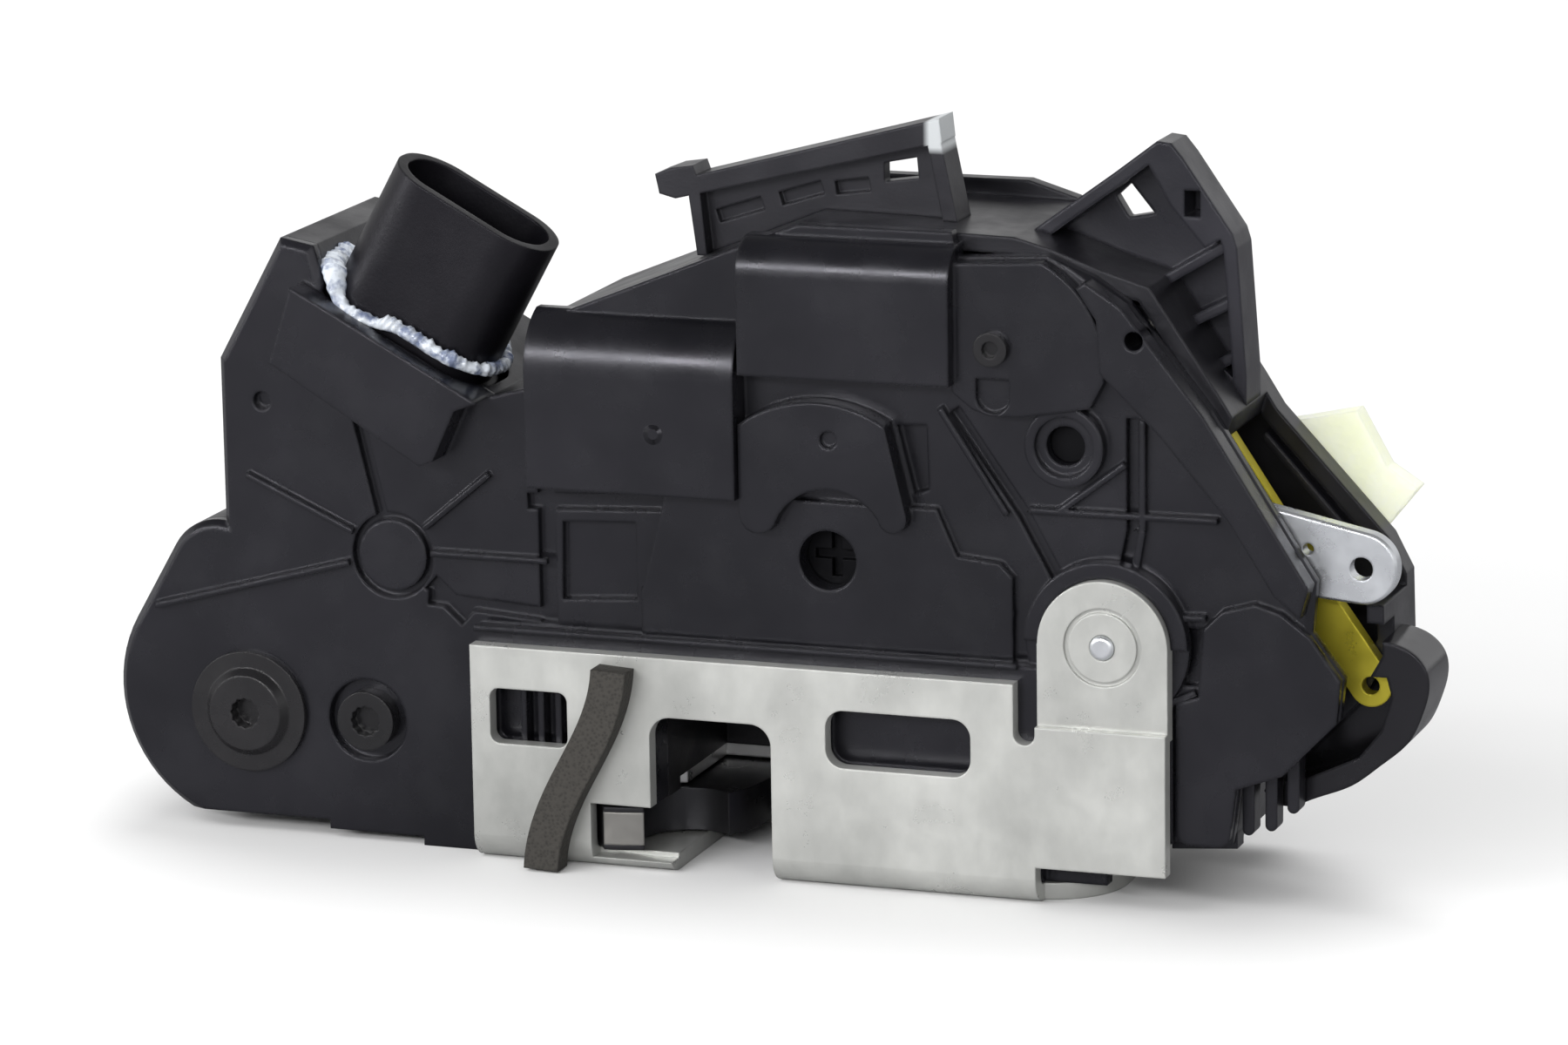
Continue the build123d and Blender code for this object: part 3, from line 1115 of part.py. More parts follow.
# ---------------------------------------------------------------- brackets, hood and pad
bracket_front_d = 12.0
bracket_back_d = 18.0
bracket_wall = 1.6


def bracket_outline():
    """Cable bracket seen from the striker, standing on the slope of the housing."""
    with BuildSketch(mode=Mode.PRIVATE) as outline:
        shape((34.1, 76.3), (44.8, 84.1), (49.8, 87.9), (51.5, 87.7), (52.9, 86.0), (58.7, 77.6), (59.2, 76.0),
              (60.3, 61.3), (60.3, 57.4), (46.0, 70.0))
    return outline.sketch


with BuildPart() as cable_bracket:
    with BuildSketch(behind(bracket_back_d)):
        add(bracket_outline())
    extrude(amount=bracket_back_d - bracket_front_d)
    # tray open to the striker's side, with a block left in its top corner
    with BuildSketch(behind(bracket_back_d - bracket_wall)):
        offset(bracket_outline(), amount=-bracket_wall, kind=Kind.INTERSECTION)
        shape((47.2, 88.0), (54.0, 88.0), (59.4, 78.2), (55.4, 75.8), (51.3, 80.6), mode=Mode.SUBTRACT)
    extrude(amount=bracket_back_d, mode=Mode.SUBTRACT)
    # ribs across the tray, set back from its rim
    with BuildSketch(behind(bracket_back_d)):
        for start, end in (
            ((44.0, 67.8), (60.0, 77.5)), ((47.0, 63.6), (60.0, 70.4)), ((51.0, 59.1), (60.0, 64.0)),
        ):
            stroke(start, end, 1.2)
        add(bracket_outline(), mode=Mode.INTERSECT)
    extrude(amount=bracket_back_d - bracket_front_d - rib_h)
    # slot in the block, and the window
    with BuildSketch(behind(bracket_back_d - bracket_wall)):
        span(53.0, 54.9, 79.4, 82.4)
    extrude(amount=bracket_back_d, mode=Mode.SUBTRACT)
    with BuildSketch(behind(bracket_back_d)):
        shape((43.7, 80.6), (45.4, 82.2), (48.2, 78.8), (45.2, 78.2))
    extrude(amount=bracket_back_d, mode=Mode.SUBTRACT)
    with BuildSketch(behind(bracket_back_d)):
        add(rear_outline())
    extrude(amount=bracket_back_d, mode=Mode.SUBTRACT)
write(cable_bracket, "cable_bracket")

clip_front_d = 12.0
clip_back_d = 17.0
clip_w = 2.0
with BuildPart() as clip_bracket:
    with BuildSketch(behind(clip_back_d)):
        shape((-10.7, 79.1), (-11.2, 81.4), (-9.2, 82.2), (-6.5, 82.6), (-6.1, 81.5), (23.8, 89.4), (24.1, 86.6),
              (-8.7, 78.6))
    extrude(amount=clip_back_d - clip_front_d)
    # web down to the housing's top, with its windows
    with BuildSketch(behind(clip_back_d - clip_w / 2)):
        shape((-7.1, 79.4), (-6.1, 72.0), (slope_knee[0], 75.0), (26.4, 75.0), (24.0, 86.6))
        shape((16.4, 83.6), (20.4, 84.4), (20.6, 82.0), (16.4, 81.4), mode=Mode.SUBTRACT)
        add(rear_outline(), mode=Mode.SUBTRACT)
    extrude(amount=clip_w)
    # recesses in the web
    with BuildSketch(behind(clip_back_d - clip_w / 2 - clip_w)):
        for start, end in (((-4.2, 76.4), (1.4, 78.2)), ((3.6, 78.8), (8.8, 80.4)), ((10.4, 80.4), (14.6, 81.0))):
            stroke(start, end, 1.6)
    extrude(amount=-clip_w / 2, mode=Mode.SUBTRACT)
    # end webs as deep as the rail
    with BuildSketch(behind(clip_back_d)):
        shape((-7.1, 79.4), (-6.1, 72.0), (-4.9, 72.0), (-5.7, 79.8))
        shape((22.4, 86.2), (24.0, 86.6), (26.4, 75.0), (24.6, 75.0))
        add(rear_outline(), mode=Mode.SUBTRACT)
    extrude(amount=clip_back_d - clip_front_d)
write(clip_bracket, "clip_bracket")

hood_front_d = 9.0
hood_back_d = 18.0
hood_wall = 1.6
with BuildPart() as guide_hood:
    with BuildSketch(behind(hood_back_d)):
        with BuildLine():
            Spline((74.6, 31.8), (78.4, 31.9), (80.8, 30.9), (82.4, 28.9), (82.6, 26.4), (81.9, 23.8),
                   (80.4, 20.6), (77.3, 17.7), (73.7, 14.9), (69.0, 12.9), (66.4, 11.9), (63.3, 13.5))
            Line((63.3, 13.5), (74.6, 31.8))
        make_face()
    extrude(amount=hood_back_d - hood_front_d)
    # hollow behind the closed upper front
    with BuildSketch(behind(hood_back_d - hood_wall)):
        with BuildLine():
            Spline((74.4, 30.8), (78.0, 30.9), (80.2, 29.4), (81.0, 27.4), (80.8, 25.4), (79.0, 21.6),
                   (76.0, 18.9), (72.6, 16.4), (68.4, 14.6), (65.6, 14.2))
            Line((65.6, 14.2), (74.4, 30.8))
        make_face()
    extrude(amount=hood_back_d - hood_front_d - 2 * hood_wall, mode=Mode.SUBTRACT)
    # mouth towards the striker's side
    with BuildSketch(behind(hood_back_d - hood_wall)):
        shape((72.0, 27.8), (77.7, 27.9), (78.3, 25.7), (77.1, 21.6), (74.5, 18.3), (68.4, 15.4), (65.6, 14.8))
    extrude(amount=hood_back_d, mode=Mode.SUBTRACT)
    with BuildSketch(behind(hood_back_d)):
        add(rear_outline())
    extrude(amount=hood_back_d, mode=Mode.SUBTRACT)
write(guide_hood, "guide_hood")

with BuildPart() as foam_pad:
    with BuildSketch(behind(deck_d + 3.0)):
        shape((62.3, 53.7), (70.1, 55.4), (73.7, 49.0), (77.4, 46.6), (72.2, 40.1), (65.6, 40.6), (61.2, 48.8))
    extrude(amount=3.0)
write(foam_pad, "foam_pad")

strip_w = 4.3
strip_t = 3.0
with BuildPart() as foam_strip:
    with BuildSketch(behind(0)):
        with BuildLine():
            Spline((-12.6, 25.0), (-14.6, 17.6), (-18.8, 9.6), (-21.0, 4.0), (-21.6, 0.3))
        trace(line_width=strip_w)
        Rectangle(120, 60, align=(Align.CENTER, Align.MIN), mode=Mode.INTERSECT)
    extrude(amount=strip_t)
write(foam_strip, "foam_strip")

# ---------------------------------------------------------------- fasteners
with BuildPart() as flange_screw:
    with BuildSketch(behind(field_d)):
        with Locations((flange_x, flange_z)):
            Circle(flange_r)
    extrude(amount=0.8)
    with BuildSketch(behind(field_d - 0.8)):
        with Locations((flange_x, flange_z)):
            Circle(flange_r - wall)
    extrude(amount=1.0, taper=40)
    with BuildSketch(behind(field_d + 16.0)):
        with Locations((flange_x, flange_z)):
            Circle(shank_r)
    extrude(amount=16.0)
    with BuildSketch(behind(field_d)):
        with Locations((flange_x, flange_z)):
            RegularPolygon(1.9, 6)
            RegularPolygon(1.9, 6, rotation=30)
    extrude(amount=2 * wall, mode=Mode.SUBTRACT)
write(flange_screw, "flange_screw")

with BuildPart() as sunk_screw:
    with BuildSketch(behind(skin_back_d - 0.6)):
        with Locations((sink_x, sink_z)):
            Circle(sink_r - 1.4)
    extrude(amount=2.2)
    with BuildSketch(behind(field_d + 16.0)):
        with Locations((sink_x, sink_z)):
            Circle(shank_r)
    extrude(amount=15.0)
    with BuildSketch(behind(skin_back_d - 1.4)):
        with Locations((sink_x, sink_z)):
            RegularPolygon(1.9, 6)
            RegularPolygon(1.9, 6, rotation=30)
    extrude(amount=2 * wall, mode=Mode.SUBTRACT)
write(sunk_screw, "sunk_screw")

with BuildPart() as small_screw:
    with BuildSketch(behind(plate_t)):
        with Locations((33.2, 65.0)):
            Circle(small_screw_r)
    extrude(amount=1.0)
    with BuildSketch(behind(rear_d - 3 * wall)):
        with Locations((33.2, 65.0)):
            Circle(1.2 - seat_gap)
    extrude(amount=rear_d - 3 * wall - plate_t)
    with BuildSketch(behind(plate_t - 0.2)):
        with Locations((33.2, 65.0)):
            RegularPolygon(1.0, 6)
            RegularPolygon(1.0, 6, rotation=30)
    extrude(amount=wall, mode=Mode.SUBTRACT)
write(small_screw, "small_screw")

with BuildPart() as plate_rivet:
    with BuildSketch(behind(skin_back_d + rivet_foot)):
        with Locations((tab_x, tab_z)):
            Circle(2 * rivet_r)
    extrude(amount=rivet_foot)
    with BuildSketch(behind(skin_back_d)):
        with Locations((tab_x, tab_z)):
            Circle(rivet_r - pin_gap)
    extrude(amount=skin_back_d - tab_joggle + 0.5)
    fillet(plate_rivet.edges().group_by(Axis.Y)[0], 0.5)
write(plate_rivet, "plate_rivet")
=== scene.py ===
import bpy
from math import cos, pi, radians, sin
from mathutils import Matrix, Vector, noise


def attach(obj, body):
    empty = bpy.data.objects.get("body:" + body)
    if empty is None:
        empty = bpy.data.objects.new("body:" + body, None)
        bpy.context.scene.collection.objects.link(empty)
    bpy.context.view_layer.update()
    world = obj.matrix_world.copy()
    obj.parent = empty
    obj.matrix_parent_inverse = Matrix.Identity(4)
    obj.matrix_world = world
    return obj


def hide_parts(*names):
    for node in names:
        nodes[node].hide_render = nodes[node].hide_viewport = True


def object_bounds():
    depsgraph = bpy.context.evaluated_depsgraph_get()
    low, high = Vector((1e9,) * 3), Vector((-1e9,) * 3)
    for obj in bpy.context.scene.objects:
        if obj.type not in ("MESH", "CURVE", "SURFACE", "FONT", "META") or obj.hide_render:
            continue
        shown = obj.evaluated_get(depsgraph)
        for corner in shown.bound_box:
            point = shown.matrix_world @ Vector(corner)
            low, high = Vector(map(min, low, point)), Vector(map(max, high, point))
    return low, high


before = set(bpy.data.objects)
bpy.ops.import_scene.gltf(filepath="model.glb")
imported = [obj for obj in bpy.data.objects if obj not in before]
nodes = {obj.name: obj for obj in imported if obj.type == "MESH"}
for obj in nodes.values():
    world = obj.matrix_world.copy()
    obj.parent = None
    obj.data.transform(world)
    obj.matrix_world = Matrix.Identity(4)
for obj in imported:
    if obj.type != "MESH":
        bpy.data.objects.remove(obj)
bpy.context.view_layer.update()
MM = 0.001

# ---------------------------------------------------------------- camera
CAMERA_PLACE = Vector((259.35, -708.14, 212.9)) * MM
CAMERA_RIGHT = Vector((0.9408, 0.3387, -0.0153)).normalized()
CAMERA_UP = Vector((-0.0622, 0.2167, 0.9742))
CAMERA_UP = (CAMERA_UP - CAMERA_RIGHT * CAMERA_UP.dot(CAMERA_RIGHT)).normalized()
CAMERA_BACK = CAMERA_RIGHT.cross(CAMERA_UP)

camera_data = bpy.data.cameras.new("camera")
camera_data.lens = 150.0
camera_data.sensor_width = 36.0
camera_data.sensor_fit = "HORIZONTAL"
camera_data.clip_start = 0.01
camera_data.clip_end = 20.0
camera = bpy.data.objects.new("camera", camera_data)
bpy.context.scene.collection.objects.link(camera)
turn = Matrix((CAMERA_RIGHT, CAMERA_UP, CAMERA_BACK)).transposed().to_4x4()
camera.matrix_world = Matrix.Translation(CAMERA_PLACE) @ turn
bpy.context.scene.camera = camera
bpy.context.scene.view_settings.view_transform = "Standard"

# ---------------------------------------------------------------- material tools
# numbers of a Mix node's sockets for its factor, its two colours and its result
MIX_SHARE, MIX_FIRST, MIX_SECOND, MIX_COLOR = 0, 6, 7, 2
WHITE = (1.0, 1.0, 1.0)


class Nodes:
    """Short calls that add nodes to a node tree and link them."""

    def __init__(self, tree):
        self.tree = tree

    def node(self, kind, **settings):
        made = self.tree.nodes.new("ShaderNode" + kind)
        for key, value in settings.items():
            setattr(made, key, value)
        return made

    def link(self, start, end):
        self.tree.links.new(start, end)

    def ray(self, kind):
        return self.node("LightPath").outputs["Is " + kind + " Ray"]

    def along(self, coordinates, axis):
        apart = self.node("SeparateXYZ")
        self.link(coordinates, apart.inputs["Vector"])
        return apart.outputs[axis]

    def spread(self, value, low, high, start=0.35, end=0.65):
        """Goes from low to high while the value goes from start to end, and stays within them."""
        made = self.node("MapRange")
        made.inputs["From Min"].default_value = start
        made.inputs["From Max"].default_value = end
        made.inputs["To Min"].default_value = low
        made.inputs["To Max"].default_value = high
        self.link(value, made.inputs["Value"])
        return made.outputs["Result"]

    def both(self, operation, first, second):
        """Math node on two sockets."""
        made = self.node("Math", operation=operation)
        self.link(first, made.inputs[0])
        self.link(second, made.inputs[1])
        return made.outputs["Value"]

    def mix(self, share, first, second):
        """Colour that goes from first to second with the share. Each is a colour or a socket."""
        made = self.node("Mix", data_type="RGBA")
        self.link(share, made.inputs[MIX_SHARE])
        for place, color in ((MIX_FIRST, first), (MIX_SECOND, second)):
            if isinstance(color, tuple):
                made.inputs[place].default_value = (*color, 1.0)
            else:
                self.link(color, made.inputs[place])
        return made.outputs[MIX_COLOR]


class Shader(Nodes):
    """A new material with a Principled shader, its textures laid out in the object's own metres."""

    def __init__(self, name, color, roughness, metallic=0.0, **sockets):
        self.material = bpy.data.materials.new(name)
        self.material.use_nodes = True
        super().__init__(self.material.node_tree)
        self.main = self.tree.nodes["Principled BSDF"]
        self.main.inputs["Base Color"].default_value = (*color, 1.0)
        self.main.inputs["Roughness"].default_value = roughness
        self.main.inputs["Metallic"].default_value = metallic
        for socket, value in sockets.items():
            self.main.inputs[socket.replace("_", " ")].default_value = value
        self.coordinates = self.node("TexCoord").outputs["Object"]

    def color(self, value):
        self.link(value, self.main.inputs["Base Color"])

    def roughness(self, value):
        self.link(value, self.main.inputs["Roughness"])

    def noise(self, scale, detail=4.0, rough=0.55, stretch=(1.0, 1.0, 1.0)):
        stretched = self.node("Mapping")
        stretched.inputs["Scale"].default_value = stretch
        self.link(self.coordinates, stretched.inputs["Vector"])
        made = self.node("TexNoise")
        made.inputs["Scale"].default_value = scale
        made.inputs["Detail"].default_value = detail
        made.inputs["Roughness"].default_value = rough
        self.link(stretched.outputs["Vector"], made.inputs["Vector"])
        return made.outputs["Fac"]

    def cells(self, scale):
        made = self.node("TexVoronoi")
        made.inputs["Scale"].default_value = scale
        self.link(self.coordinates, made.inputs["Vector"])
        return made.outputs["Distance"]

    def blend(self, value, low, high, start=0.35, end=0.65):
        """Colour ramp from low to high."""
        ramp = self.node("ValToRGB")
        ramp.color_ramp.elements[0].position = start
        ramp.color_ramp.elements[0].color = (*low, 1.0)
        ramp.color_ramp.elements[1].position = end
        ramp.color_ramp.elements[1].color = (*high, 1.0)
        self.link(value, ramp.inputs["Fac"])
        return ramp.outputs["Color"]

    def beyond(self, axis, place, width=0.0004):
        """Mask that rises from 0 to 1 where the coordinate passes the place."""
        return self.spread(self.along(self.coordinates, axis), 0.0, 1.0, place - width, place + width)

    def before(self, axis, place, width=0.0004):
        """Mask that falls from 1 to 0 where the coordinate passes the place."""
        return self.spread(self.along(self.coordinates, axis), 1.0, 0.0, place - width, place + width)

    def spot(self, place, radius):
        """Height of a round mark: 1 in its middle and 0 from its radius on."""
        gap = self.node("VectorMath", operation="DISTANCE")
        self.link(self.coordinates, gap.inputs[0])
        gap.inputs[1].default_value = place
        return self.spread(gap.outputs["Value"], 1.0, 0.0, radius / 2, radius)

    def tint(self, mask, color):
        """Lays a second colour over the one that is there, where the mask is 1."""
        under = self.main.inputs["Base Color"].links[0].from_socket
        self.color(self.mix(mask, under, color))

    def relief(self, *layers, round_edges=0.0):
        """Bump layers of (height, distance in metres), over rounded edges where asked."""
        normal = None
        if round_edges:
            bevel = self.node("Bevel", samples=4)
            bevel.inputs["Radius"].default_value = round_edges
            normal = bevel.outputs["Normal"]
        for height, distance in layers:
            bump = self.node("Bump")
            bump.inputs["Strength"].default_value = 1.0
            bump.inputs["Distance"].default_value = distance
            self.link(height, bump.inputs["Height"])
            if normal is not None:
                self.link(normal, bump.inputs["Normal"])
            normal = bump.outputs["Normal"]
        self.link(normal, self.main.inputs["Normal"])


def dress(shader, *names):
    """Gives a material to CAD nodes."""
    for name in names:
        materials = nodes[name].data.materials
        materials.clear()
        materials.append(shader.material)


# ---------------------------------------------------------------- plastics
GLOSS_TINT = (0.92, 0.915, 1.0, 1.0)
CLOUD_SCALE, WEAR_SCALE, GRAIN_SCALE, WAVE_SCALE = 38.0, 120.0, 2600.0, 60.0
SMOOTHEST, ROUGHEST = -0.06, 0.09
WAVE_HEIGHT = 0.00002


def moulded(name, dark, light, rough, grain, edge=0.0004, gloss=0.5, marks=()):
    """Moulded plastic. Its gate marks are (place, radius, height), and all lengths are in metres."""
    shader = Shader(name, dark, rough, Specular_IOR_Level=gloss, Specular_Tint=GLOSS_TINT)
    shader.color(shader.blend(shader.noise(CLOUD_SCALE, 3.0), dark, light))
    shader.roughness(shader.spread(shader.noise(WEAR_SCALE, 5.0), rough + SMOOTHEST, rough + ROUGHEST))
    layers = [(shader.noise(GRAIN_SCALE, 2.0), grain), (shader.noise(WAVE_SCALE, 2.0), WAVE_HEIGHT)]
    for place, radius, height in marks:
        layers.append((shader.spot(place, radius), height))
    shader.relief(*layers, round_edges=edge)
    return shader


# the mark that the moulding gate left on the left bulge: its place, radius and height
GATE_MARK = ((-0.0075, -0.0190, 0.0530), 0.0012, 0.0005)
# where the clip bracket's rail turns pale, and where the second gear's trunnion gets painted shade, the dark
# of its hole
RAIL_TIP_X, RAIL_TIP_Z = 0.0222, 0.0856
TRUNNION_SHADE_Y = -0.0118
GEAR_COLORS = (0.70, 0.69, 0.63), (0.78, 0.77, 0.71)

housing_black = moulded("housing_black", (0.0036, 0.0036, 0.0048), (0.0084, 0.0082, 0.0104),
                        rough=0.24, grain=0.00001, edge=0.0006, marks=[GATE_MARK])
rear_black = moulded("rear_black", (0.0034, 0.0034, 0.0044), (0.0076, 0.0074, 0.0094),
                     rough=0.34, grain=0.000014, edge=0.0005)
latch_black = moulded("latch_black", (0.0060, 0.0056, 0.0056), (0.0120, 0.0112, 0.0115),
                      rough=0.46, grain=0.00002)
plug_black = moulded("plug_black", (0.0026, 0.0024, 0.0034), (0.0056, 0.0051, 0.0068),
                     rough=0.38, grain=0.00002, gloss=0.26)
bracket_black = moulded("bracket_black", (0.0050, 0.0050, 0.0072), (0.0130, 0.0126, 0.0166),
                        rough=0.33, grain=0.000014, edge=0.0006)
clip_black = moulded("clip_black", (0.0060, 0.0058, 0.0072), (0.0120, 0.0116, 0.0140),
                     rough=0.35, grain=0.000014)
hood_black = moulded("hood_black", (0.0030, 0.0030, 0.0036), (0.0070, 0.0066, 0.0078),
                     rough=0.20, grain=0.000004, edge=0.0006)
jacket_black = moulded("jacket_black", (0.0060, 0.0060, 0.0065), (0.0110, 0.0106, 0.0114),
                       rough=0.32, grain=0.00001, edge=0.0003)
# painted shade: the key driver is darker and duller than the other black plastics, so that its deep bore
# looks dark
key_black_painted_shade = moulded("key_black_painted_shade", (0.0018, 0.0018, 0.0022), (0.0036, 0.0036, 0.0040),
                    rough=0.42, grain=0.00001, edge=0.0002, gloss=0.12)
switch_black = moulded("switch_black", (0.0200, 0.0210, 0.0200), (0.0310, 0.0320, 0.0300),
                       rough=0.50, grain=0.00001, edge=0.0002)
gear_white = moulded("gear_white", *GEAR_COLORS, rough=0.34, grain=0.000006, edge=0.0002)
trunnion = moulded("gear_and_painted_trunnion_shade", *GEAR_COLORS, rough=0.5, grain=0.000006, edge=0.0002, gloss=0.1)

rail_tip = clip_black.both("MULTIPLY", clip_black.beyond("X", RAIL_TIP_X), clip_black.beyond("Z", RAIL_TIP_Z))
clip_black.tint(rail_tip, (0.45, 0.47, 0.48))
# painted shade: the trunnion turns near-black below this y, standing in for the shade inside its hole
trunnion.tint(trunnion.before("Y", TRUNNION_SHADE_Y), (0.003, 0.003, 0.0035))

dress(housing_black, "front_cover")
dress(rear_black, "rear_housing")
dress(latch_black, "latch_case")
dress(plug_black, "plug")
dress(bracket_black, "cable_bracket")
dress(clip_black, "clip_bracket")
dress(hood_black, "guide_hood")
dress(jacket_black, "catch_jacket", "pawl_jacket")
dress(key_black_painted_shade, "key_driver")
dress(switch_black, "pawl_switch", "lock_switches", "circuit_carrier")
dress(gear_white, "lock_gear", "lock_worm", "safe_worm")
dress(trunnion, "safe_gear")


# ---------------------------------------------------------------- metals
STAIN_SCALE, DENT_SCALE = 150.0, 45.0
BRIGHTEST, DULLEST = -0.08, 0.12
DENT_HEIGHT = 0.00002


def plated(name, dark, light, rough, stretch=(1.0, 1.0, 1.0), edge=0.0003, metallic=0.9, scale=30.0):
    """Plated or bare metal with a cloudy colour and an uneven shine."""
    shader = Shader(name, light, rough, metallic)
    shader.color(shader.blend(shader.noise(scale, 6.0, 0.6, stretch), dark, light, 0.3, 0.7))
    shader.roughness(shader.spread(shader.noise(STAIN_SCALE, 6.0, 0.65), rough + BRIGHTEST, rough + DULLEST))
    shader.relief((shader.noise(DENT_SCALE, 2.0), DENT_HEIGHT), round_edges=edge)
    return shader


zinc = plated("zinc_plate", (0.35, 0.355, 0.34), (0.61, 0.615, 0.59),
              rough=0.34, stretch=(1.0, 1.0, 0.6), metallic=0.55, scale=52.0)
white_zinc = plated("white_zinc", (0.66, 0.68, 0.71), (0.80, 0.82, 0.85), rough=0.27)
yellow_zinc = plated("yellow_zinc", (0.52, 0.44, 0.03), (0.74, 0.64, 0.07), rough=0.34, metallic=0.7)
bare_steel = plated("bare_steel", (0.26, 0.25, 0.235), (0.40, 0.39, 0.37), rough=0.38)
spring_steel = plated("spring_steel", (0.22, 0.22, 0.23), (0.36, 0.36, 0.37), rough=0.30)
motor_steel = plated("motor_steel", (0.46, 0.46, 0.46), (0.58, 0.58, 0.58),
                     rough=0.32, stretch=(0.2, 1.0, 1.0))
tinned = plated("tinned_contact", (0.58, 0.52, 0.38), (0.70, 0.66, 0.56), rough=0.26, edge=0.0001)
black_steel = plated("black_screw", (0.009, 0.009, 0.010), (0.019, 0.018, 0.020), rough=0.25, metallic=0.25)

dress(zinc, "face_plate")
dress(motor_steel, "counter_plate", "lock_motor", "safe_motor")
dress(white_zinc, "outer_release_lever", "plate_rivet")
dress(yellow_zinc, "inner_release_lever")
dress(bare_steel, "catch", "pawl", "catch_pin", "pawl_pin", "outer_lever_pin", "inner_lever_pin")
dress(spring_steel, "catch_spring", "pawl_spring")
dress(tinned, "plug_pins")
dress(black_steel, "flange_screw", "sunk_screw", "small_screw")

# ---------------------------------------------------------------- soft materials
strip = Shader("dark_foam", (0.020, 0.018, 0.016), 0.85)
pores = strip.cells(2400.0)
strip.color(strip.blend(pores, (0.014, 0.013, 0.011), (0.034, 0.031, 0.027), 0.0, 0.6))
strip.relief((pores, 0.00006), (strip.noise(180.0), 0.0002), round_edges=0.0004)
dress(strip, "foam_strip")

pad = Shader("pale_pad", (0.86, 0.90, 0.68), 0.55,
             Subsurface_Weight=0.4, Subsurface_Radius=(0.004, 0.004, 0.002), Subsurface_Scale=1.0)
pad.color(pad.blend(pad.noise(60.0), (0.82, 0.86, 0.62), (0.90, 0.93, 0.76)))
pad.relief((pad.cells(900.0), 0.00005), round_edges=0.0005)
dress(pad, "foam_pad")

silicone = Shader("silicone", (0.62, 0.69, 0.80), 0.16,
                  Transmission_Weight=0.25, IOR=1.41, Coat_Weight=0.5, Coat_Roughness=0.08)
silicone.color(silicone.blend(silicone.noise(520.0), (0.20, 0.24, 0.36), (0.78, 0.83, 0.90), 0.38, 0.56))
silicone.relief((silicone.noise(700.0, 3.0), 0.0003))
dress(silicone, "sealing_bead")

buffer = Shader("buffer_rubber", (0.10, 0.09, 0.15), 0.3)
buffer.color(buffer.blend(buffer.noise(420.0, 3.0), (0.03, 0.03, 0.05), (0.30, 0.28, 0.42)))
buffer.relief((buffer.noise(900.0, 2.0), 0.00003), round_edges=0.0003)
dress(buffer, "striker_buffer")

# ---------------------------------------------------------------- sealant bead round the plug
# the front of the plate, the plug and its trough, with the part's own sizes in mm
FRONT_REACH = 19.0
PLUG_PLACE_X, PLUG_PLACE_Z, PLUG_BEHIND_FRONT = -40.9, 62.7, 10.2
PLUG_WIDTH, PLUG_DEPTH, PLUG_CORNER = 21.5, 12.0, 5.6
PLUG_LEAN = radians(28.8)
TROUGH_GAP = 1.5

PLUG_ALONG = Vector((cos(PLUG_LEAN), 0.0, -sin(PLUG_LEAN)))
PLUG_OUT = Vector((sin(PLUG_LEAN), 0.0, cos(PLUG_LEAN)))
PLUG_SIDE = PLUG_OUT.cross(PLUG_ALONG)
PLUG_FOOT = Vector((PLUG_PLACE_X, PLUG_BEHIND_FRONT - FRONT_REACH, PLUG_PLACE_Z)) * MM

# where the bead changes, in the plug's plane: x of its wide left end, y of its front side, x of its low run
LEFT_END = (-10.5, -7.0)
FRONT_SIDE = (-4.0, 0.0)
LOW_RUN = (-5.5, 0.5)
# lumps, fine wrinkles and skin: how close together they are, and the layer of the noise they are cut from
LUMP_SCALE, FINE_SCALE, SKIN_SCALE = 0.45, 1.4, 2.1
LUMP_LAYER, FINE_LAYER = 3.7, 9.1
SKIN_AROUND = (1.9, 2.3)
SKIN_SHARE = 0.30
# height of the bead's middle over the plug's foot, its half-width, its half-height and its move outward
LIFT, LIFT_LEFT, LIFT_LOW = 0.55, 0.7, -1.7
WIDE, WIDE_LEFT, WIDE_LUMP, WIDE_FINE = 0.75, 0.95, 0.35, 0.2
TALL, TALL_LEFT, TALL_LUMP, TALL_FINE, TALL_BELOW = 0.75, 0.5, 0.8, 0.45, 0.8
SHIFT_LEFT, SHIFT_LUMP = 0.55, 0.25


def loop_point(share):
    """Point and outward direction on the trough's middle line, in the plug's own plane, in mm."""
    flat_w = PLUG_WIDTH / 2 - PLUG_CORNER
    flat_d = PLUG_DEPTH / 2 - PLUG_CORNER
    radius = PLUG_CORNER + TROUGH_GAP / 2
    corners = ((flat_w, flat_d), (-flat_w, flat_d), (-flat_w, -flat_d), (flat_w, -flat_d))
    runs = []
    for index, (x, y) in enumerate(corners):
        straight = 2 * flat_w if index % 2 == 0 else 2 * flat_d
        runs.append((radius * pi / 2, "arc", x, y, index * pi / 2))
        runs.append((straight, "line", x, y, (index + 1) * pi / 2))
    at = share % 1.0 * sum(run[0] for run in runs)
    for length, kind, x, y, angle in runs:
        if at <= length:
            break
        at -= length
    if kind == "arc":
        angle += at / radius
        at = 0.0
    out = (cos(angle), sin(angle))
    return (x + radius * out[0] - at * out[1], y + radius * out[1] + at * out[0]), out


def smooth(value, start, end):
    """0 before start, 1 past end, with a soft step between them."""
    share = min(1.0, max(0.0, (value - start) / (end - start)))
    return share * share * (3 - 2 * share)


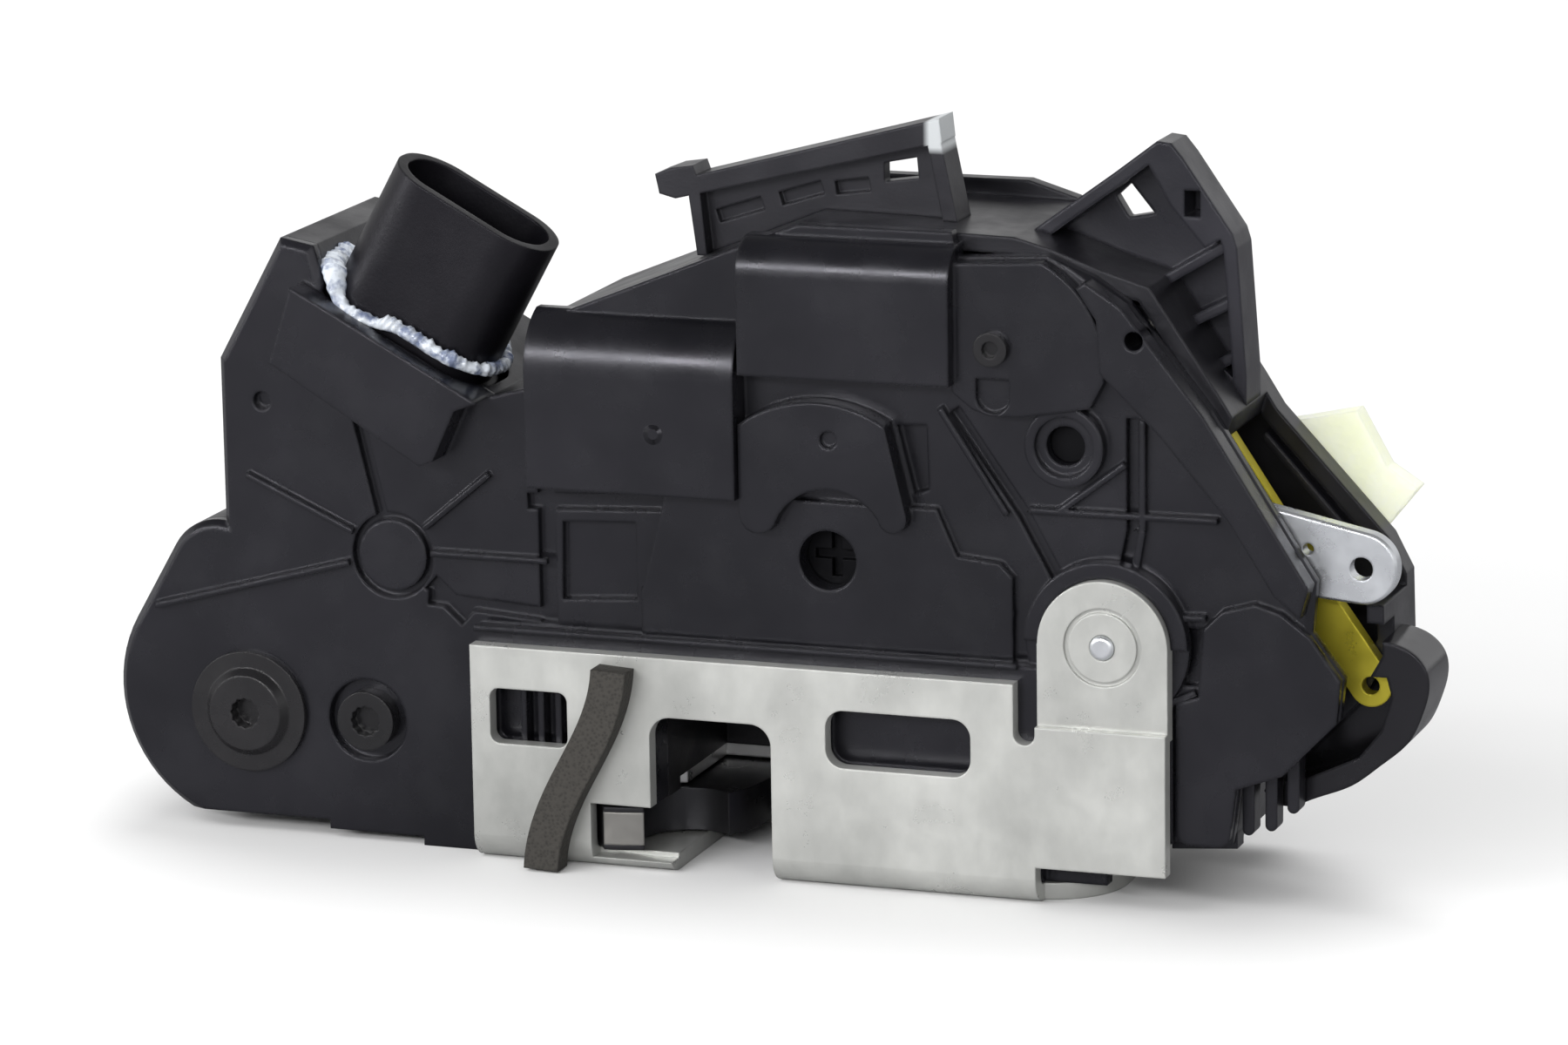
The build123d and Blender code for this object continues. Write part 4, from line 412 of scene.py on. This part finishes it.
def bead_ring(x, y, out, sides):
    """Points of one cross-section of the bead, in metres."""
    lump = noise.noise(Vector((x * LUMP_SCALE, y * LUMP_SCALE, LUMP_LAYER)))
    fine = noise.noise(Vector((x * FINE_SCALE, y * FINE_SCALE, FINE_LAYER)))
    left_end = 1.0 - smooth(x, *LEFT_END)
    low = (1.0 - smooth(y, *FRONT_SIDE)) * (1.0 - left_end) * (1.0 - smooth(x, *LOW_RUN))
    lift = LIFT + LIFT_LEFT * left_end + LIFT_LOW * low
    wide = WIDE + WIDE_LEFT * left_end + WIDE_LUMP * max(0.0, lump) + WIDE_FINE * fine
    tall = TALL + TALL_LEFT * left_end + TALL_LUMP * max(0.0, lump) + TALL_FINE * fine
    shift = SHIFT_LEFT * left_end + SHIFT_LUMP * lump
    points = []
    for side in range(sides):
        angle = 2 * pi * side / sides
        around = SKIN_AROUND[1] * sin(angle) + SKIN_AROUND[0] * cos(angle)
        rough = 1.0 + SKIN_SHARE * noise.noise(Vector((x * SKIN_SCALE, y * SKIN_SCALE, around)))
        reach = shift + wide * cos(angle) * rough
        height = lift + (tall * rough if sin(angle) > 0 else TALL_BELOW) * sin(angle)
        place = PLUG_ALONG * (x + out[0] * reach) + PLUG_SIDE * (y + out[1] * reach) + PLUG_OUT * height
        points.append(PLUG_FOOT + place * MM)
    return points


def bead_mesh(steps=480, sides=18):
    """Lumpy closed tube of sealant: wide over the trough's left end, and low at the front left."""
    points, faces = [], []
    for step in range(steps):
        (x, y), out = loop_point(step / steps)
        points += bead_ring(x, y, out, sides)
        here, there = step * sides, (step + 1) % steps * sides
        for side in range(sides):
            after = (side + 1) % sides
            faces.append((here + side, there + side, there + after, here + after))
    mesh = bpy.data.meshes.new("sealant_bead")
    mesh.from_pydata(points, [], faces)
    mesh.validate()
    mesh.polygons.foreach_set("use_smooth", [True] * len(mesh.polygons))
    return mesh


bead = bpy.data.objects.new("sealant_bead", bead_mesh())
bpy.context.scene.collection.objects.link(bead)
bead.data.materials.append(silicone.material)
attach(bead, "housing")
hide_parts("sealing_bead")

# ---------------------------------------------------------------- floor
FLOOR_HALF = 4.0
FLOOR_GAP = 0.00002
GLOW_START, GLOW_END, GLOW_STRENGTH = 0.35, 1.5, 0.6

floor_mesh = bpy.data.meshes.new("floor")
floor_corners = [(x * FLOOR_HALF, y * FLOOR_HALF, 0) for x, y in ((-1, -1), (1, -1), (1, 1), (-1, 1))]
floor_mesh.from_pydata(floor_corners, [], [(0, 1, 2, 3)])
floor = bpy.data.objects.new("floor", floor_mesh)
bpy.context.scene.collection.objects.link(floor)
floor.location.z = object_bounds()[0].z - FLOOR_GAP

paper = Shader("paper", (0.80, 0.80, 0.80), 0.9, Emission_Color=(*WHITE, 1.0))
paper.color(paper.blend(paper.noise(3.0), (0.79, 0.79, 0.79), (0.81, 0.81, 0.81)))
# reflections see a darker floor, so that the flat fronts stay dark and the rounded edges stand out
paper.tint(paper.ray("Glossy"), (0.27, 0.27, 0.28))
# far from the part the floor glows up to white, which leaves the shadow near it as it is
far = paper.node("VectorMath", operation="LENGTH")
paper.link(paper.coordinates, far.inputs[0])
glow = paper.spread(far.outputs["Value"], 0.0, GLOW_STRENGTH, GLOW_START, GLOW_END)
paper.link(paper.both("MULTIPLY", glow, paper.ray("Camera")), paper.main.inputs["Emission Strength"])
floor.data.materials.append(paper.material)

# ---------------------------------------------------------------- world
DIFFUSE_LEVEL, SEEN_LEVEL = 0.55, 1.0
LOW_SKY, HIGH_SKY = 0.8, 0.12

world = bpy.data.worlds.new("studio")
bpy.context.scene.world = world
world.use_nodes = True
sky = Nodes(world.node_tree)
background = sky.tree.nodes["Background"]
seen = sky.both("MAXIMUM", sky.ray("Camera"), sky.ray("Transmission"))
seen = sky.both("MAXIMUM", seen, sky.ray("Glossy"))
sky.link(sky.spread(seen, DIFFUSE_LEVEL, SEEN_LEVEL, 0.0, 1.0), background.inputs["Strength"])
# reflections see a sky that is bright low down and dark overhead
direction = sky.node("TexCoord").outputs["Generated"]
brightness = sky.spread(sky.along(direction, "Z"), LOW_SKY, HIGH_SKY)
grey = sky.node("CombineColor")
for channel in ("Red", "Green", "Blue"):
    sky.link(brightness, grey.inputs[channel])
sky.link(sky.mix(sky.ray("Glossy"), WHITE, grey.outputs["Color"]), background.inputs["Color"])

# ---------------------------------------------------------------- lamps
AIM = Vector((0.0, 0.0, 0.045))


def lamp(name, place, size, watts, shine=True):
    """Area lamp aimed at the part. Without shine it lights the part and isn't seen in reflections."""
    data = bpy.data.lights.new(name, "AREA")
    data.shape = "RECTANGLE"
    data.size, data.size_y = size
    data.energy = watts
    made = bpy.data.objects.new(name, data)
    bpy.context.scene.collection.objects.link(made)
    made.location = place
    made.rotation_euler = (AIM - Vector(place)).to_track_quat("-Z", "Y").to_euler()
    made.visible_glossy = shine


# the wide lamps light the part, and the strips draw the thin bright lines on its edges
lamp("key_light", (-0.5, -0.7, 0.9), (0.6, 0.5), 3.5, shine=False)
lamp("fill_light", (0.9, -0.8, 0.5), (0.3, 0.6), 1.5)
lamp("top_light", (0.1, 0.3, 1.1), (0.9, 0.5), 7.0, shine=False)
lamp("strip_light", (-0.4, -1.15, 0.52), (1.9, 0.06), 16.0)
lamp("side_strip", (-1.1, -0.5, 0.35), (0.08, 1.0), 2.5)
